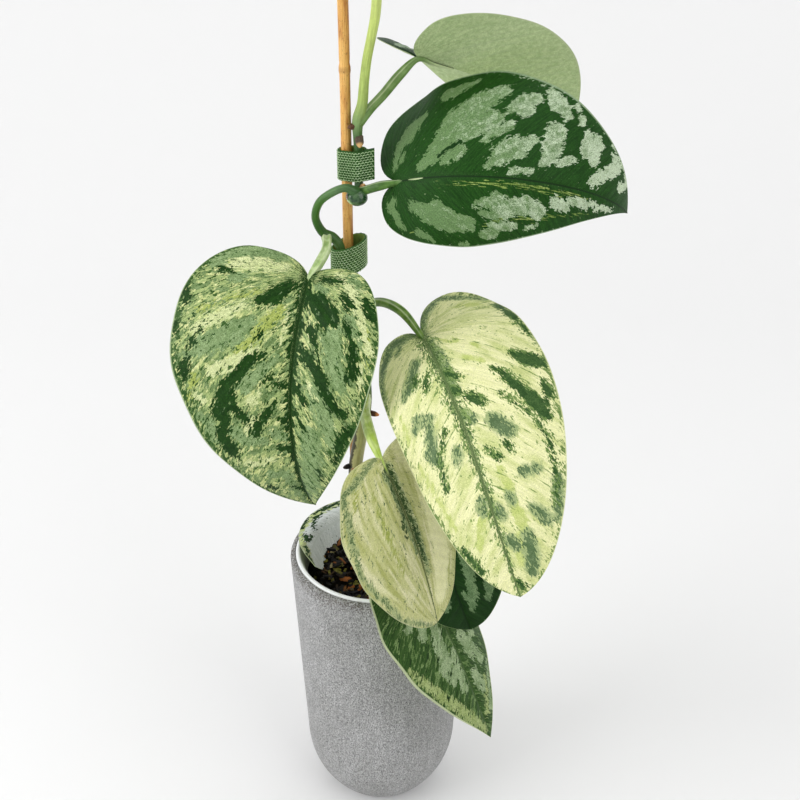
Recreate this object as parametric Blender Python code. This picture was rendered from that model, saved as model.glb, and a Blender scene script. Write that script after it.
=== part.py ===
"""Satin pothos trained up a bamboo stake, potted in a white nursery pot inside a grey planter.

Runs with blender --background --python part.py, or from Blender's text editor.

Lengths are in millimetres and angles in degrees, turned into metres where a mesh is made.
The origin is the centre of the planter's flat foot, +Z is up, and the leaves face -Y.
"""

import math
from dataclasses import dataclass

import bmesh
import bpy
import numpy as np

MM = 0.001
GAP = 0.3

# Planter: a cast cylinder that widens a little upwards, on a rounded bottom with a flat foot
PLANTER_HEIGHT = 163.0
PLANTER_LIP_RADIUS = 48.0
PLANTER_WAIST_RADIUS = 42.2
PLANTER_BOTTOM_ARC = 52.7
PLANTER_BOTTOM_SWEEP = 50.0
PLANTER_LIP_ROUNDING = 2.4
PLANTER_WALL = 5.0
PLANTER_FLOOR = 9.0
SEAT_DEPTH = 1.5
TURNED_SIDES = 48
FLOOR_COVE = 3.0

# Nursery pot: hangs by its flange in a step cut inside the planter's lip
POT_FLANGE_RADIUS = 45.2
POT_FLANGE_INSIDE = 42.7
POT_RIM_RISE = 0.9
POT_WALL = 1.2
POT_TOP_RADIUS = 42.4
POT_FOOT_RADIUS = 31.0
POT_DEPTH = 86.0
DRAIN_HOLES = 6
DRAIN_RADIUS = 3.0
DRAIN_CIRCLE = 20.0
DRAIN_SIDES = 12
DRILL_DEPTH = 12.0
POT_FOOT_CHAMFER = 1.5
POT_BASE_THICKNESS = 2.0
POT_INSIDE_COVE = 3.0
POT_NECK_DEPTH = 0.6
POT_NECK_STEP = 0.2
POT_THROAT_DEPTH = 2.0

# Substrate: its surface lies below the rim, in crumbs
SOIL_DROP = 14.0
SOIL_CRUMB = 1.4
SOIL_SHIFT = 0.8
SOIL_CLEARANCE = 0.5
SOIL_FOOT_CLEARANCE = 1.9
SOIL_LIFT = 1.4
SOIL_RINGS = 9
SOIL_SIDES = 36
SOIL_SEED = 7

# Bamboo stake
STAKE_RADIUS = 2.45
STAKE_FOOT = (-11.7, 3.0, 82.0)
STAKE_HEAD = (-14.4, 3.0, 498.0)
STAKE_KNOTS = (0.22, 0.5, 0.83)
STAKE_KNOT_RISE = 0.35
STAKE_KNOT_HALF = 2.0
STAKE_SIDES = 12

# Ties: strips of hook-and-loop tape closed round the stake and the stem
TIE_WIDTH = 14.5
TIE_THICKNESS = 1.2
TIE_SIDES = 32
UPPER_TIE_HEIGHT = 383.5
UPPER_TIE_SLOPE = 8.0
UPPER_TIE_ROOM = 0.5
UPPER_TIE_STEM = (-7.9, -1.1, 2.2)
UPPER_TIE_FLAP = ((-6.6, -4.55), (-0.6, -3.6), (-0.6, -1.6), (-4.9, -2.3))
LOWER_TIE_HEIGHT = 338.0
LOWER_TIE_SLOPE = 20.0
LOWER_TIE_MIDDLE = (-13.2, -1.1)
LOWER_TIE_RADII = (7.4, 6.9)

# Stem: centre line and radius, from inside the substrate to the furled leaf at the top
STEM_ROUTE = (
    (-8.5, -4.0, 118.0, 3.0),
    (-8.5, -4.0, 150.0, 3.2),
    (-10.5, -4.5, 178.0, 3.4),
    (-12.0, -4.5, 200.0, 3.1),
    (-12.0, -4.5, 220.0, 3.5),
    (-8.8, -4.5, 241.0, 3.3),
    (-6.4, -4.5, 262.0, 3.3),
    (-7.4, -4.0, 284.0, 2.6),
    (-9.0, -4.5, 304.0, 2.7),
    (-11.5, -5.0, 317.0, 2.6),
    (-14.4, -4.3, 327.0, 2.2),
    (-16.2, -3.6, 336.0, 2.1),
    (-17.2, -3.2, 343.5, 2.2),
    (-20.4, -3.2, 348.4, 2.3),
    (-25.4, -3.6, 351.6, 2.2),
    (-28.3, -5.0, 359.5, 1.9),
    (-26.0, -6.6, 367.6, 1.9),
    (-20.0, -8.0, 373.0, 1.9),
    (-14.0, -8.4, 375.4, 1.9),
    (-9.6, -7.4, 373.2, 2.6),
    (-8.0, -3.4, 371.6, 2.4),
    (-8.0, -1.2, 377.5, 1.9),
    (-7.8, -1.0, 386.0, 1.9),
    (-8.2, -1.0, 397.0, 2.1),
    (-8.0, -1.0, 405.0, 2.6),
    (-5.9, -2.0, 413.0, 2.4),
    (-4.9, -2.0, 423.0, 2.2),
    (-3.6, -2.2, 433.0, 2.1),
    (-1.6, -2.8, 443.0, 2.1),
    (0.2, -3.0, 452.0, 2.2),
    (1.2, -3.0, 462.0, 2.3),
    (2.2, -3.2, 476.0, 2.9),
    (3.4, -3.8, 490.0, 2.2),
    (5.0, -5.0, 503.0, 0.6),
)
STEM_SIDES = 10
STEM_STEPS = 3
STEM_HOLE_REACH = 40.0

# The swollen joint under the upper tie, and root nubs: place, direction, length and radius
KNUCKLE = ((-8.7, -7.0, 370.4), 4.5)
NUBS = (
    ((-9.2, -1.4, 402.6), (-1.0, -0.3, -0.2), 3.6, 1.6),
    ((-7.8, -2.4, 395.5), (0.1, -1.0, -0.4), 3.4, 1.5),
    ((-3.6, -5.0, 257.0), (1.0, -0.4, 0.1), 4.2, 1.3),
    ((-14.6, -5.6, 221.0), (-1.0, -0.4, -0.1), 4.0, 1.4),
    ((-12.4, -7.2, 220.0), (-0.1, -1.0, -0.1), 2.6, 1.4),
)
NUB_SINK = 1.2
NUB_SIDES = 6
KNUCKLE_SIDES = 12
KNUCKLE_RINGS = 8
NUB_SHAPE = ((0.0, 1.0), (0.45, 0.95), (0.8, 0.62), (1.0, 0.25))


@dataclass
class Half:
    """The part of a blade on one side of its midrib."""

    width: float  # from the midrib to the widest point
    widest: float  # where that is, as a share of the midrib
    lobe: float  # how far it reaches back past the stalk
    fullness: float  # how long the margin stays wide
    tip_angle: float  # between margin and midrib at the tip
    fold: float  # how steeply it leaves the midrib
    curl: float  # how far it has turned back down at the margin
    lobe_fold: float = 0.0  # how much steeper it is beside the stalk


@dataclass
class Leaf:
    """A heart-shaped blade on its stalk."""

    base: tuple  # where stalk and blade meet
    heading: float  # of the midrib, from +X towards +Y
    dip: float  # of the midrib below level, at the base
    roll: float  # about the midrib
    length: float
    droop: float  # how far the midrib bends down on its way to the tip
    left: Half
    right: Half
    stalk: tuple  # route from inside the stem to just short of the base
    stalk_radius: float = 2.2
    sway: float = 0.0  # how far the midrib turns sideways
    twist: float = 0.0


LEAVES = {
    "leaf_upper_front": Leaf(
        base=(10.0, -12.0, 380.0),
        heading=-43.0,
        dip=-24.0,
        roll=60.0,
        length=133.0,
        droop=120.0,
        twist=14.0,
        left=Half(55.0, 0.32, 17.0, 0.48, 50.0, -3.0, 32.0),
        right=Half(35.0, 0.26, 15.0, 0.40, 13.0, -18.0, 37.0),
        stalk=((-7.6, -3.8, 371.8), (-3.6, -6.8, 374.2), (2.5, -9.6, 377.2)),
    ),
    "leaf_left": Leaf(
        base=(-31.0, -25.0, 338.0),
        heading=-109.0,
        dip=41.0,
        roll=2.0,
        length=135.0,
        droop=90.0,
        left=Half(40.5, 0.23, 6.0, 0.39, 20.0, 13.0, 27.0),
        right=Half(61.5, 0.25, 10.0, 0.37, 45.0, 17.0, 24.0),
        stalk=((-23.4, -3.3, 348.4), (-23.0, -9.0, 349.2), (-23.2, -15.5, 347.4), (-26.6, -21.5, 342.8)),
    ),
    "leaf_right": Leaf(
        base=(21.5, -30.0, 309.5),
        heading=-74.0,
        dip=-2.0,
        roll=21.0,
        length=140.0,
        droop=75.0,
        sway=-21.0,
        left=Half(47.0, 0.25, 27.0, 0.35, 54.0, 7.0, 32.0),
        right=Half(33.5, 0.27, 14.0, 0.34, 51.0, -2.0, 39.0),
        stalk=((-9.6, -4.7, 308.0), (-4.4, -9.0, 316.0), (3.4, -15.6, 320.5), (12.6, -23.6, 319.0)),
    ),
    "leaf_top_back": Leaf(
        base=(19.0, 12.0, 430.0),
        heading=36.0,
        dip=23.0,
        roll=-50.0,
        length=111.0,
        droop=2.0,
        sway=4.0,
        left=Half(34.0, 0.29, 11.0, 0.47, 38.0, 6.0, 3.0, lobe_fold=49.0),
        right=Half(42.0, 0.29, 10.0, 0.48, 48.0, 1.0, 10.0),
        stalk=((-7.9, -1.0, 403.6), (-2.2, 2.0, 409.6), (3.8, 4.4, 415.4), (11.4, 8.2, 423.4)),
    ),
    "leaf_lower_front": Leaf(
        base=(3.0, -75.0, 270.5),
        heading=-31.0,
        dip=62.0,
        roll=10.0,
        length=95.5,
        droop=25.0,
        sway=5.0,
        left=Half(32.0, 0.30, 5.0, 0.48, 48.0, 13.0, 41.0),
        right=Half(39.0, 0.31, 6.0, 0.50, 59.0, 16.0, 37.0),
        stalk=((-6.5, -4.5, 260.0), (-5.9, -16.0, 266.0), (-5.6, -38.0, 272.5), (-2.4, -61.0, 274.5)),
        stalk_radius=2.6,
    ),
    "leaf_lower_dark": Leaf(
        base=(24.5, -46.0, 232.7),
        heading=-68.0,
        dip=51.0,
        roll=27.0,
        length=80.0,
        droop=48.0,
        left=Half(31.5, 0.30, 14.0, 0.46, 43.0, 19.0, 24.0),
        right=Half(31.5, 0.30, 14.0, 0.45, 39.0, 17.0, 24.0),
        stalk=((-12.0, -4.5, 214.0), (-6.0, -12.0, 224.0), (4.0, -24.0, 233.4), (16.0, -38.0, 236.6)),
    ),
    "leaf_hanging": Leaf(
        base=(19.2, -49.5, 189.4),
        heading=-28.0,
        dip=60.0,
        roll=9.0,
        length=107.0,
        droop=12.0,
        twist=-7.0,
        left=Half(35.5, 0.24, 16.0, 0.43, 43.0, 4.0, 38.0),
        right=Half(35.5, 0.22, 17.0, 0.43, 33.0, 4.0, 38.0),
        stalk=((-10.6, -4.5, 180.0), (-5.0, -12.0, 190.0), (5.0, -26.0, 197.4), (14.0, -42.0, 196.4)),
    ),
}

# Blade mesh
BLADE_THICKNESS = 0.8
VEIN_LEAN = 0.8
LOBE_RAYS = 8
STATIONS = 13
ACROSS = 4
VEIN_BOW = 0.12
MARGIN_STEPS = (20, 30, 60)
BEND_STEPS = 24
RIPPLES = 3.5
RIPPLE_HEIGHT = 0.9
STALK_SIDES = 8
STALK_STEPS = 3
STALK_SHEATH = 1.25
STALK_REACH = (0.0, 0.09, 0.2)
STALK_RADII = (1.5, 1.2, 0.8)
STALK_DEPTHS = (1.3, 1.5, 1.0)

# The young leaf low in the pot curves along its back wall, with its outer margin over the rim
POT_LEAF_RING = 36.5
POT_LEAF_START = 98.0
POT_LEAF_LENGTH = 66.0
POT_LEAF_LEFT = Half(12.0, 0.36, 5.0, 0.50, 48.0, 0.0, 0.0)
POT_LEAF_RIGHT = Half(12.0, 0.36, 5.0, 0.50, 48.0, 0.0, 0.0)
POT_LEAF_FLOOR = 152.4
POT_LEAF_TOP = 165.2
POT_LEAF_BEND = (25.0, 41.0)
POT_LEAF_STALK_RADIUS = 1.5
POT_LEAF_STALK = ((-8.6, -4.0, 157.0), (-3.4, 4.0, 159.5), (-1.6, 16.0, 161.5), (-3.0, 29.0, 161.5))

COLOURS = {
    "planter": ((0.36, 0.35, 0.36), 0.85),
    "nursery_pot": ((0.86, 0.87, 0.87), 0.25),
    "substrate": ((0.035, 0.022, 0.010), 0.95),
    "stake": ((0.60, 0.34, 0.11), 0.50),
    "tie_upper": ((0.10, 0.24, 0.08), 0.90),
    "tie_lower": ((0.10, 0.24, 0.08), 0.90),
    "vine_stem": ((0.09, 0.20, 0.04), 0.45),
    "leaf_upper_front": ((0.03, 0.11, 0.03), 0.45),
    "leaf_left": ((0.22, 0.32, 0.12), 0.45),
    "leaf_right": ((0.62, 0.60, 0.32), 0.45),
    "leaf_top_back": ((0.22, 0.32, 0.15), 0.50),
    "leaf_lower_front": ((0.58, 0.56, 0.28), 0.45),
    "leaf_lower_dark": ((0.03, 0.10, 0.03), 0.45),
    "leaf_hanging": ((0.10, 0.20, 0.08), 0.45),
    "leaf_in_pot": ((0.45, 0.50, 0.42), 0.45),
}


# Scene helpers


def clear_scene():
    """Remove every object that the file opened with."""
    for thing in list(bpy.data.objects):
        bpy.data.objects.remove(thing, do_unlink=True)


def add_object(name, points, faces):
    """Make an object from points in millimetres."""
    mesh = bpy.data.meshes.new(name)
    mesh.from_pydata([tuple(float(c) * MM for c in point) for point in points], [], faces)
    mesh.validate()
    thing = bpy.data.objects.new(name, mesh)
    bpy.context.scene.collection.objects.link(thing)
    return thing


def dress(thing, smooth_angle=40.0):
    """Give an object its own material and round shading."""
    colour, roughness = COLOURS[thing.name]
    material = bpy.data.materials.new(thing.name)
    material.use_nodes = True
    shader = material.node_tree.nodes["Principled BSDF"]
    shader.inputs["Base Color"].default_value = (*colour, 1.0)
    shader.inputs["Roughness"].default_value = roughness
    shader.inputs["Metallic"].default_value = 0.0
    thing.data.materials.clear()
    thing.data.materials.append(material)
    thing.data.shade_smooth()
    thing.data.set_sharp_from_angle(angle=math.radians(smooth_angle))


def combine(thing, other, operation):
    """Join or cut one object with another, and remove the other."""
    modifier = thing.modifiers.new(operation, "BOOLEAN")
    modifier.operation = operation
    modifier.solver = "EXACT"
    modifier.use_self = True
    modifier.object = other
    depsgraph = bpy.context.evaluated_depsgraph_get()
    result = bpy.data.meshes.new_from_object(thing.evaluated_get(depsgraph))
    thing.modifiers.clear()
    thing.data = result
    bpy.data.objects.remove(other, do_unlink=True)


def drop_scraps(thing):
    """Keep the largest connected body, where a cut has left a scrap on its far side."""
    shape = bmesh.new()
    shape.from_mesh(thing.data)
    waiting = set(shape.verts)
    bodies = []
    while waiting:
        body = {waiting.pop()}
        edge = list(body)
        while edge:
            vertex = edge.pop()
            for link in vertex.link_edges:
                other = link.other_vert(vertex)
                if other in waiting:
                    waiting.discard(other)
                    body.add(other)
                    edge.append(other)
        bodies.append(body)
    bodies.sort(key=len)
    for body in bodies[:-1]:
        bmesh.ops.delete(shape, geom=list(body), context="VERTS")
    shape.to_mesh(thing.data)
    shape.free()


# Shape helpers


def unit(vector):
    """The vector at length one."""
    vector = np.asarray(vector, float)
    return vector / np.linalg.norm(vector)


def turned(name, profile, sides=TURNED_SIDES):
    """Turn a profile of (radius, height) round +Z into a solid."""
    shape = bmesh.new()
    ring = [shape.verts.new((radius * MM, 0.0, height * MM)) for radius, height in profile]
    edges = [shape.edges.new(pair) for pair in zip(ring, ring[1:])]
    bmesh.ops.spin(
        shape,
        geom=ring + edges,
        cent=(0.0, 0.0, 0.0),
        axis=(0.0, 0.0, 1.0),
        angle=math.tau,
        steps=sides,
        use_merge=False,
    )
    bmesh.ops.remove_doubles(shape, verts=shape.verts, dist=0.01 * MM)
    bmesh.ops.recalc_face_normals(shape, faces=shape.faces)
    mesh = bpy.data.meshes.new(name)
    shape.to_mesh(mesh)
    shape.free()
    thing = bpy.data.objects.new(name, mesh)
    bpy.context.scene.collection.objects.link(thing)
    return thing


def arc(centre, radius, start, end, steps):
    """Points on an arc in the profile plane, angles from +radius towards +height."""
    angles = np.radians(np.linspace(start, end, steps + 1))
    return [(centre[0] + radius * math.cos(a), centre[1] + radius * math.sin(a)) for a in angles]


def smooth_route(route, steps):
    """A Catmull-Rom curve through a route, whose rows may also carry a radius."""
    route = np.asarray(route, float)
    ends = np.vstack([2 * route[0] - route[1], route, 2 * route[-1] - route[-2]])
    points = []
    for before, start, end, after in zip(ends, ends[1:], ends[2:], ends[3:]):
        for t in np.arange(steps) / steps:
            points.append(
                0.5
                * (
                    2 * start
                    + (end - before) * t
                    + (2 * before - 5 * start + 4 * end - after) * t**2
                    + (3 * start - before - 3 * end + after) * t**3
                )
            )
    points.append(route[-1])
    return np.array(points)


def tube(name, route, sides, grow=0.0):
    """A round tube along rows of (x, y, z, radius), with flat ends."""
    centres = route[:, :3]
    tangents = np.gradient(centres, axis=0)
    tangents /= np.linalg.norm(tangents, axis=1)[:, None]
    side = unit(np.cross(tangents[0], (0.31, 0.87, 0.38)))
    angles = np.arange(sides) * math.tau / sides
    points = []
    for centre, tangent, radius in zip(centres, tangents, route[:, 3]):
        side = unit(side - tangent * np.dot(side, tangent))
        other = np.cross(tangent, side)
        for angle in angles:
            points.append(centre + (radius + grow) * (math.cos(angle) * side + math.sin(angle) * other))
    faces = [tuple(range(sides))[::-1]]
    for ring in range(len(centres) - 1):
        for k in range(sides):
            here = ring * sides + k
            beside = ring * sides + (k + 1) % sides
            faces.append((here, beside, beside + sides, here + sides))
    last = (len(centres) - 1) * sides
    faces.append(tuple(range(last, last + sides)))
    return add_object(name, points, faces)


# Planter, pot, substrate and stake


def make_planter():
    """The cast planter, with a step inside its lip for the nursery pot."""
    centre_radius = PLANTER_WAIST_RADIUS - PLANTER_BOTTOM_ARC
    centre_height = PLANTER_BOTTOM_ARC * math.sin(math.radians(PLANTER_BOTTOM_SWEEP))
    outside = arc((centre_radius, centre_height), PLANTER_BOTTOM_ARC, -PLANTER_BOTTOM_SWEEP, 0.0, 10)
    lip_centre = (PLANTER_LIP_RADIUS - PLANTER_LIP_ROUNDING, PLANTER_HEIGHT - PLANTER_LIP_ROUNDING)
    lip = arc(lip_centre, PLANTER_LIP_ROUNDING, 0.0, 85.0, 4)
    seat_radius = POT_FLANGE_RADIUS + GAP
    seat_height = PLANTER_HEIGHT - SEAT_DEPTH
    mouth_radius = PLANTER_LIP_RADIUS - PLANTER_WALL
    waist_inside = PLANTER_WAIST_RADIUS - PLANTER_WALL
    floor = arc((centre_radius, centre_height), PLANTER_BOTTOM_ARC - PLANTER_WALL, 0.0, -40.0, 8)
    floor = [point for point in floor if point[1] > PLANTER_FLOOR]
    profile = [(0.0, 0.0)] + outside + lip
    profile += [(seat_radius, PLANTER_HEIGHT), (seat_radius, seat_height), (mouth_radius, seat_height)]
    profile += [(waist_inside, centre_height)] + floor[1:] + [(floor[-1][0] - FLOOR_COVE, PLANTER_FLOOR)]
    profile += [(0.0, PLANTER_FLOOR)]
    return turned("planter", profile)


def pot_wall_radius(height):
    """The outer radius of the nursery pot's wall at a height."""
    top = PLANTER_HEIGHT - SEAT_DEPTH
    share = (top - height) / POT_DEPTH
    return POT_TOP_RADIUS + (POT_FOOT_RADIUS - POT_TOP_RADIUS) * share


def make_nursery_pot():
    """The white pot with its rolled rim and drain holes."""
    seat = PLANTER_HEIGHT - SEAT_DEPTH + GAP
    foot = PLANTER_HEIGHT - SEAT_DEPTH - POT_DEPTH
    top = PLANTER_HEIGHT + POT_RIM_RISE
    rim_centre = 0.5 * (POT_FLANGE_RADIUS + POT_FLANGE_INSIDE)
    rim_radius = 0.5 * (POT_FLANGE_RADIUS - POT_FLANGE_INSIDE)
    rim = arc((rim_centre, top - rim_radius), rim_radius, 0.0, 180.0, 6)
    profile = [(0.0, foot), (POT_FOOT_RADIUS - POT_FOOT_CHAMFER, foot)]
    profile += [(POT_FOOT_RADIUS, foot + POT_FOOT_CHAMFER)]
    profile += [(POT_TOP_RADIUS, seat - POT_NECK_DEPTH), (POT_TOP_RADIUS + POT_NECK_STEP, seat)]
    profile += [(POT_FLANGE_RADIUS, seat)] + rim
    profile += [(POT_TOP_RADIUS - POT_WALL, seat - POT_THROAT_DEPTH)]
    profile += [(POT_FOOT_RADIUS - POT_WALL, foot + POT_INSIDE_COVE), (0.0, foot + POT_BASE_THICKNESS)]
    pot = turned("nursery_pot", profile)
    for k in range(DRAIN_HOLES):
        angle = math.tau * k / DRAIN_HOLES
        place = (DRAIN_CIRCLE * math.cos(angle) * MM, DRAIN_CIRCLE * math.sin(angle) * MM, foot * MM)
        bpy.ops.mesh.primitive_cylinder_add(
            vertices=DRAIN_SIDES, radius=DRAIN_RADIUS * MM, depth=DRILL_DEPTH * MM, location=place
        )
        combine(pot, bpy.context.object, "DIFFERENCE")
    return pot


def deeper(route):
    """A route whose foot reaches the gap further down."""
    longer = np.array(route, float)
    longer[0, 2] -= GAP
    return longer


def stem_hole():
    """The hole in the substrate that the stem stands in."""
    buried = [row for row in STEM_ROUTE if row[2] < PLANTER_HEIGHT + STEM_HOLE_REACH]
    return tube("stem_hole", deeper(smooth_route(buried, STEM_STEPS)), STEM_SIDES, GAP)


def make_substrate(cutters):
    """The plug of bark mix, crumbly on top, with plain holes for what stands in it."""
    random = np.random.default_rng(SOIL_SEED)
    foot = PLANTER_HEIGHT - SEAT_DEPTH - POT_DEPTH + POT_BASE_THICKNESS + SOIL_LIFT
    level = PLANTER_HEIGHT - SOIL_DROP
    top_radius = pot_wall_radius(level) - POT_WALL - SOIL_CLEARANCE
    foot_radius = pot_wall_radius(foot) - POT_WALL - SOIL_FOOT_CLEARANCE
    points = [(0.0, 0.0, level)]
    faces = []
    for ring in range(1, SOIL_RINGS + 1):
        for k in range(SOIL_SIDES):
            angle = math.tau * (k + 0.5 * (ring % 2)) / SOIL_SIDES
            radius = top_radius * ring / SOIL_RINGS
            height = level
            if ring < SOIL_RINGS:
                radius += random.uniform(-SOIL_SHIFT, SOIL_SHIFT)
                height += random.uniform(-SOIL_CRUMB, SOIL_CRUMB)
            points.append((radius * math.cos(angle), radius * math.sin(angle), height))
    for k in range(SOIL_SIDES):
        faces.append((0, 1 + k, 1 + (k + 1) % SOIL_SIDES))
    for ring in range(SOIL_RINGS - 1):
        start = 1 + ring * SOIL_SIDES
        for k in range(SOIL_SIDES):
            here, beside = start + k, start + (k + 1) % SOIL_SIDES
            outer, outer_beside = here + SOIL_SIDES, beside + SOIL_SIDES
            faces.append((here, outer, outer_beside))
            faces.append((here, outer_beside, beside))
    last = 1 + (SOIL_RINGS - 1) * SOIL_SIDES
    bottom = len(points)
    for k in range(SOIL_SIDES):
        x, y, _ = points[last + k]
        scale = foot_radius / top_radius
        points.append((x * scale, y * scale, foot))
    for k in range(SOIL_SIDES):
        beside = (k + 1) % SOIL_SIDES
        faces.append((last + k, bottom + k, bottom + beside, last + beside))
    faces.append(tuple(range(bottom, bottom + SOIL_SIDES))[::-1])
    plug = add_object("substrate", points, faces)
    for cutter in cutters:
        combine(plug, cutter, "DIFFERENCE")
    return plug


def stake_route():
    """The stake's centre line, with its radius swelling at each knot."""
    foot, head = np.array(STAKE_FOOT), np.array(STAKE_HEAD)
    shares = {0.0: 0.0, 1.0: 0.0}
    half_knot = STAKE_KNOT_HALF / (head[2] - foot[2])
    for knot in STAKE_KNOTS:
        shares.update({knot - half_knot: 0.0, knot: STAKE_KNOT_RISE, knot + half_knot: 0.0})
    rows = [[*(foot + (head - foot) * share), STAKE_RADIUS + rise] for share, rise in sorted(shares.items())]
    return np.array(rows)


# Ties


def stake_at(height):
    """The stake's centre in plan, at a height."""
    foot, head = np.array(STAKE_FOOT), np.array(STAKE_HEAD)
    return (foot + (head - foot) * (height - foot[2]) / (head[2] - foot[2]))[:2]


def wrapped_loop(circles, clearance):
    """The outline of a strip pulled round several circles of (x, y, radius)."""
    loop = []
    for k in range(TIE_SIDES):
        angle = math.tau * k / TIE_SIDES
        direction = np.array([math.cos(angle), math.sin(angle)])
        best = max(circles, key=lambda circle: np.dot(circle[:2], direction) + circle[2])
        loop.append(np.array(best[:2]) + direction * (best[2] + clearance))
    return loop


def oval_loop(centre, radii, grow):
    """An oval outline."""
    angles = [math.tau * k / TIE_SIDES for k in range(TIE_SIDES)]
    return [
        np.array([centre[0] + (radii[0] + grow) * math.cos(a), centre[1] + (radii[1] + grow) * math.sin(a)])
        for a in angles
    ]


def sloped(loop, middle, height, slope):
    """An outline lifted to a height, rising by a slope towards +X."""
    lift = math.tan(math.radians(slope))
    return [(x, y, height + (x - middle) * lift) for x, y in loop]


def band(name, inner, outer, middle, slope):
    """A closed strip between two outlines, about the middle (x, z), its rims sloping."""
    points = []
    for loop in (inner, outer):
        for half_width in (-0.5 * TIE_WIDTH, 0.5 * TIE_WIDTH):
            points += sloped(loop, middle[0], middle[1] + half_width, slope)
    count = len(inner)
    faces = []
    for k in range(count):
        beside = (k + 1) % count
        faces.append((k, k + count, beside + count, beside))
        faces.append((2 * count + k, 2 * count + beside, 3 * count + beside, 3 * count + k))
        faces.append((count + k, 3 * count + k, 3 * count + beside, count + beside))
        faces.append((k, beside, 2 * count + beside, 2 * count + k))
    return add_object(name, points, faces)


def slab(name, loop, middle, slope):
    """A solid of the tie's width over an outline, sloping as the tie does."""
    points = []
    for half_width in (-0.5 * TIE_WIDTH, 0.5 * TIE_WIDTH):
        points += sloped(loop, middle[0], middle[1] + half_width, slope)
    count = len(loop)
    faces = [tuple(range(count))[::-1], tuple(range(count, 2 * count))]
    for k in range(count):
        beside = (k + 1) % count
        faces.append((k, beside, beside + count, k + count))
    return add_object(name, points, faces)


def make_upper_tie():
    """The tie drawn tight round stake and stem, with its end standing out as a flap."""
    stake = (*stake_at(UPPER_TIE_HEIGHT), STAKE_RADIUS)
    circles = [stake, UPPER_TIE_STEM]
    middle = (0.5 * (stake[0] + UPPER_TIE_STEM[0]), UPPER_TIE_HEIGHT)
    inner = wrapped_loop(circles, UPPER_TIE_ROOM)
    outer = wrapped_loop(circles, UPPER_TIE_ROOM + TIE_THICKNESS)
    tie = band("tie_upper", inner, outer, middle, UPPER_TIE_SLOPE)
    combine(tie, slab("flap", UPPER_TIE_FLAP, middle, UPPER_TIE_SLOPE), "UNION")
    return tie


def make_lower_tie():
    """The looser tie, an open loop round stake and stem."""
    inner = oval_loop(LOWER_TIE_MIDDLE, LOWER_TIE_RADII, 0.0)
    outer = oval_loop(LOWER_TIE_MIDDLE, LOWER_TIE_RADII, TIE_THICKNESS)
    return band("tie_lower", inner, outer, (LOWER_TIE_MIDDLE[0], LOWER_TIE_HEIGHT), LOWER_TIE_SLOPE)


# Stem


def bump(place, direction, length, radius, grow):
    """A blunt root nub, sunk into the stem."""
    direction = unit(direction)
    root = np.array(place) - direction * NUB_SINK
    reach = length + NUB_SINK + grow
    route = [[*(root + direction * reach * share), radius * width + grow] for share, width in NUB_SHAPE]
    return tube("nub", np.array(route), NUB_SIDES)


def stem_solid(name, grow):
    """The vine with its bends, nodes and nubs, up to the furled new leaf."""
    stem = tube(name, smooth_route(STEM_ROUTE, STEM_STEPS), STEM_SIDES, grow)
    centre, radius = KNUCKLE
    bpy.ops.mesh.primitive_uv_sphere_add(
        segments=KNUCKLE_SIDES,
        ring_count=KNUCKLE_RINGS,
        radius=(radius + grow) * MM,
        location=[c * MM for c in centre],
    )
    combine(stem, bpy.context.object, "UNION")
    for place, direction, length, width in NUBS:
        combine(stem, bump(place, direction, length, width, grow), "UNION")
    return stem


def cut_clear(thing, grown):
    """Cut a piece back from its neighbour, given as a solid with the gap added."""
    cutter = grown.copy()
    bpy.context.scene.collection.objects.link(cutter)
    combine(thing, cutter, "DIFFERENCE")


# Leaves


def bezier(start, first, second, end, steps):
    """Points on a cubic curve."""
    t = np.linspace(0.0, 1.0, steps)[:, None]
    start, first, second, end = (np.array(p, float) for p in (start, first, second, end))
    return (1 - t) ** 3 * start + 3 * (1 - t) ** 2 * t * first + 3 * (1 - t) * t**2 * second + t**3 * end


def margin(length, half):
    """One half's outline from the stalk round to the tip: along the midrib, and away from it."""
    lobe_back = (-half.lobe, 0.45 * half.width)
    widest = (half.widest * length, half.width)
    reach = length - widest[0]
    tip = math.radians(half.tip_angle)
    lobe_steps, side_steps, tip_steps = MARGIN_STEPS
    into_lobe = bezier(
        (0.0, 0.0),
        (-0.7 * half.lobe, 0.06 * half.width),
        (-half.lobe, 0.2 * half.width),
        lobe_back,
        lobe_steps,
    )
    round_lobe = bezier(
        lobe_back,
        (-half.lobe, 0.76 * half.width),
        (widest[0] - 0.56 * (widest[0] + half.lobe), half.width),
        widest,
        side_steps,
    )
    to_tip = bezier(
        widest,
        (widest[0] + half.fullness * reach, half.width),
        (length - 0.3 * reach * math.cos(tip), 0.3 * reach * math.sin(tip)),
        (length, 0.0),
        tip_steps,
    )
    return np.vstack([into_lobe, round_lobe[1:], to_tip[1:]])


def veins(length, half):
    """Where each vein leaves the midrib and where it meets the margin, both as flat points."""
    outline = margin(length, half)
    leaves_at = outline[:, 0] - VEIN_LEAN * outline[:, 1]
    last_lobe = int(np.argmax(leaves_at > 0.0)) - 1
    lobe = outline[: last_lobe + 1]
    travelled = np.concatenate([[0.0], np.cumsum(np.linalg.norm(np.diff(lobe, axis=0), axis=1))])
    pairs = []
    for ray in range(1, LOBE_RAYS + 1):
        at = travelled[-1] * ray / LOBE_RAYS
        end = np.array([np.interp(at, travelled, lobe[:, 0]), np.interp(at, travelled, lobe[:, 1])])
        pairs.append((np.zeros(2), end))
    rest = slice(last_lobe, None)
    for station in range(1, STATIONS):
        at = length * station / STATIONS
        end = np.array([np.interp(at, leaves_at[rest], outline[rest, c]) for c in (0, 1)])
        pairs.append((np.array([at, 0.0]), end))
    return pairs


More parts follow.
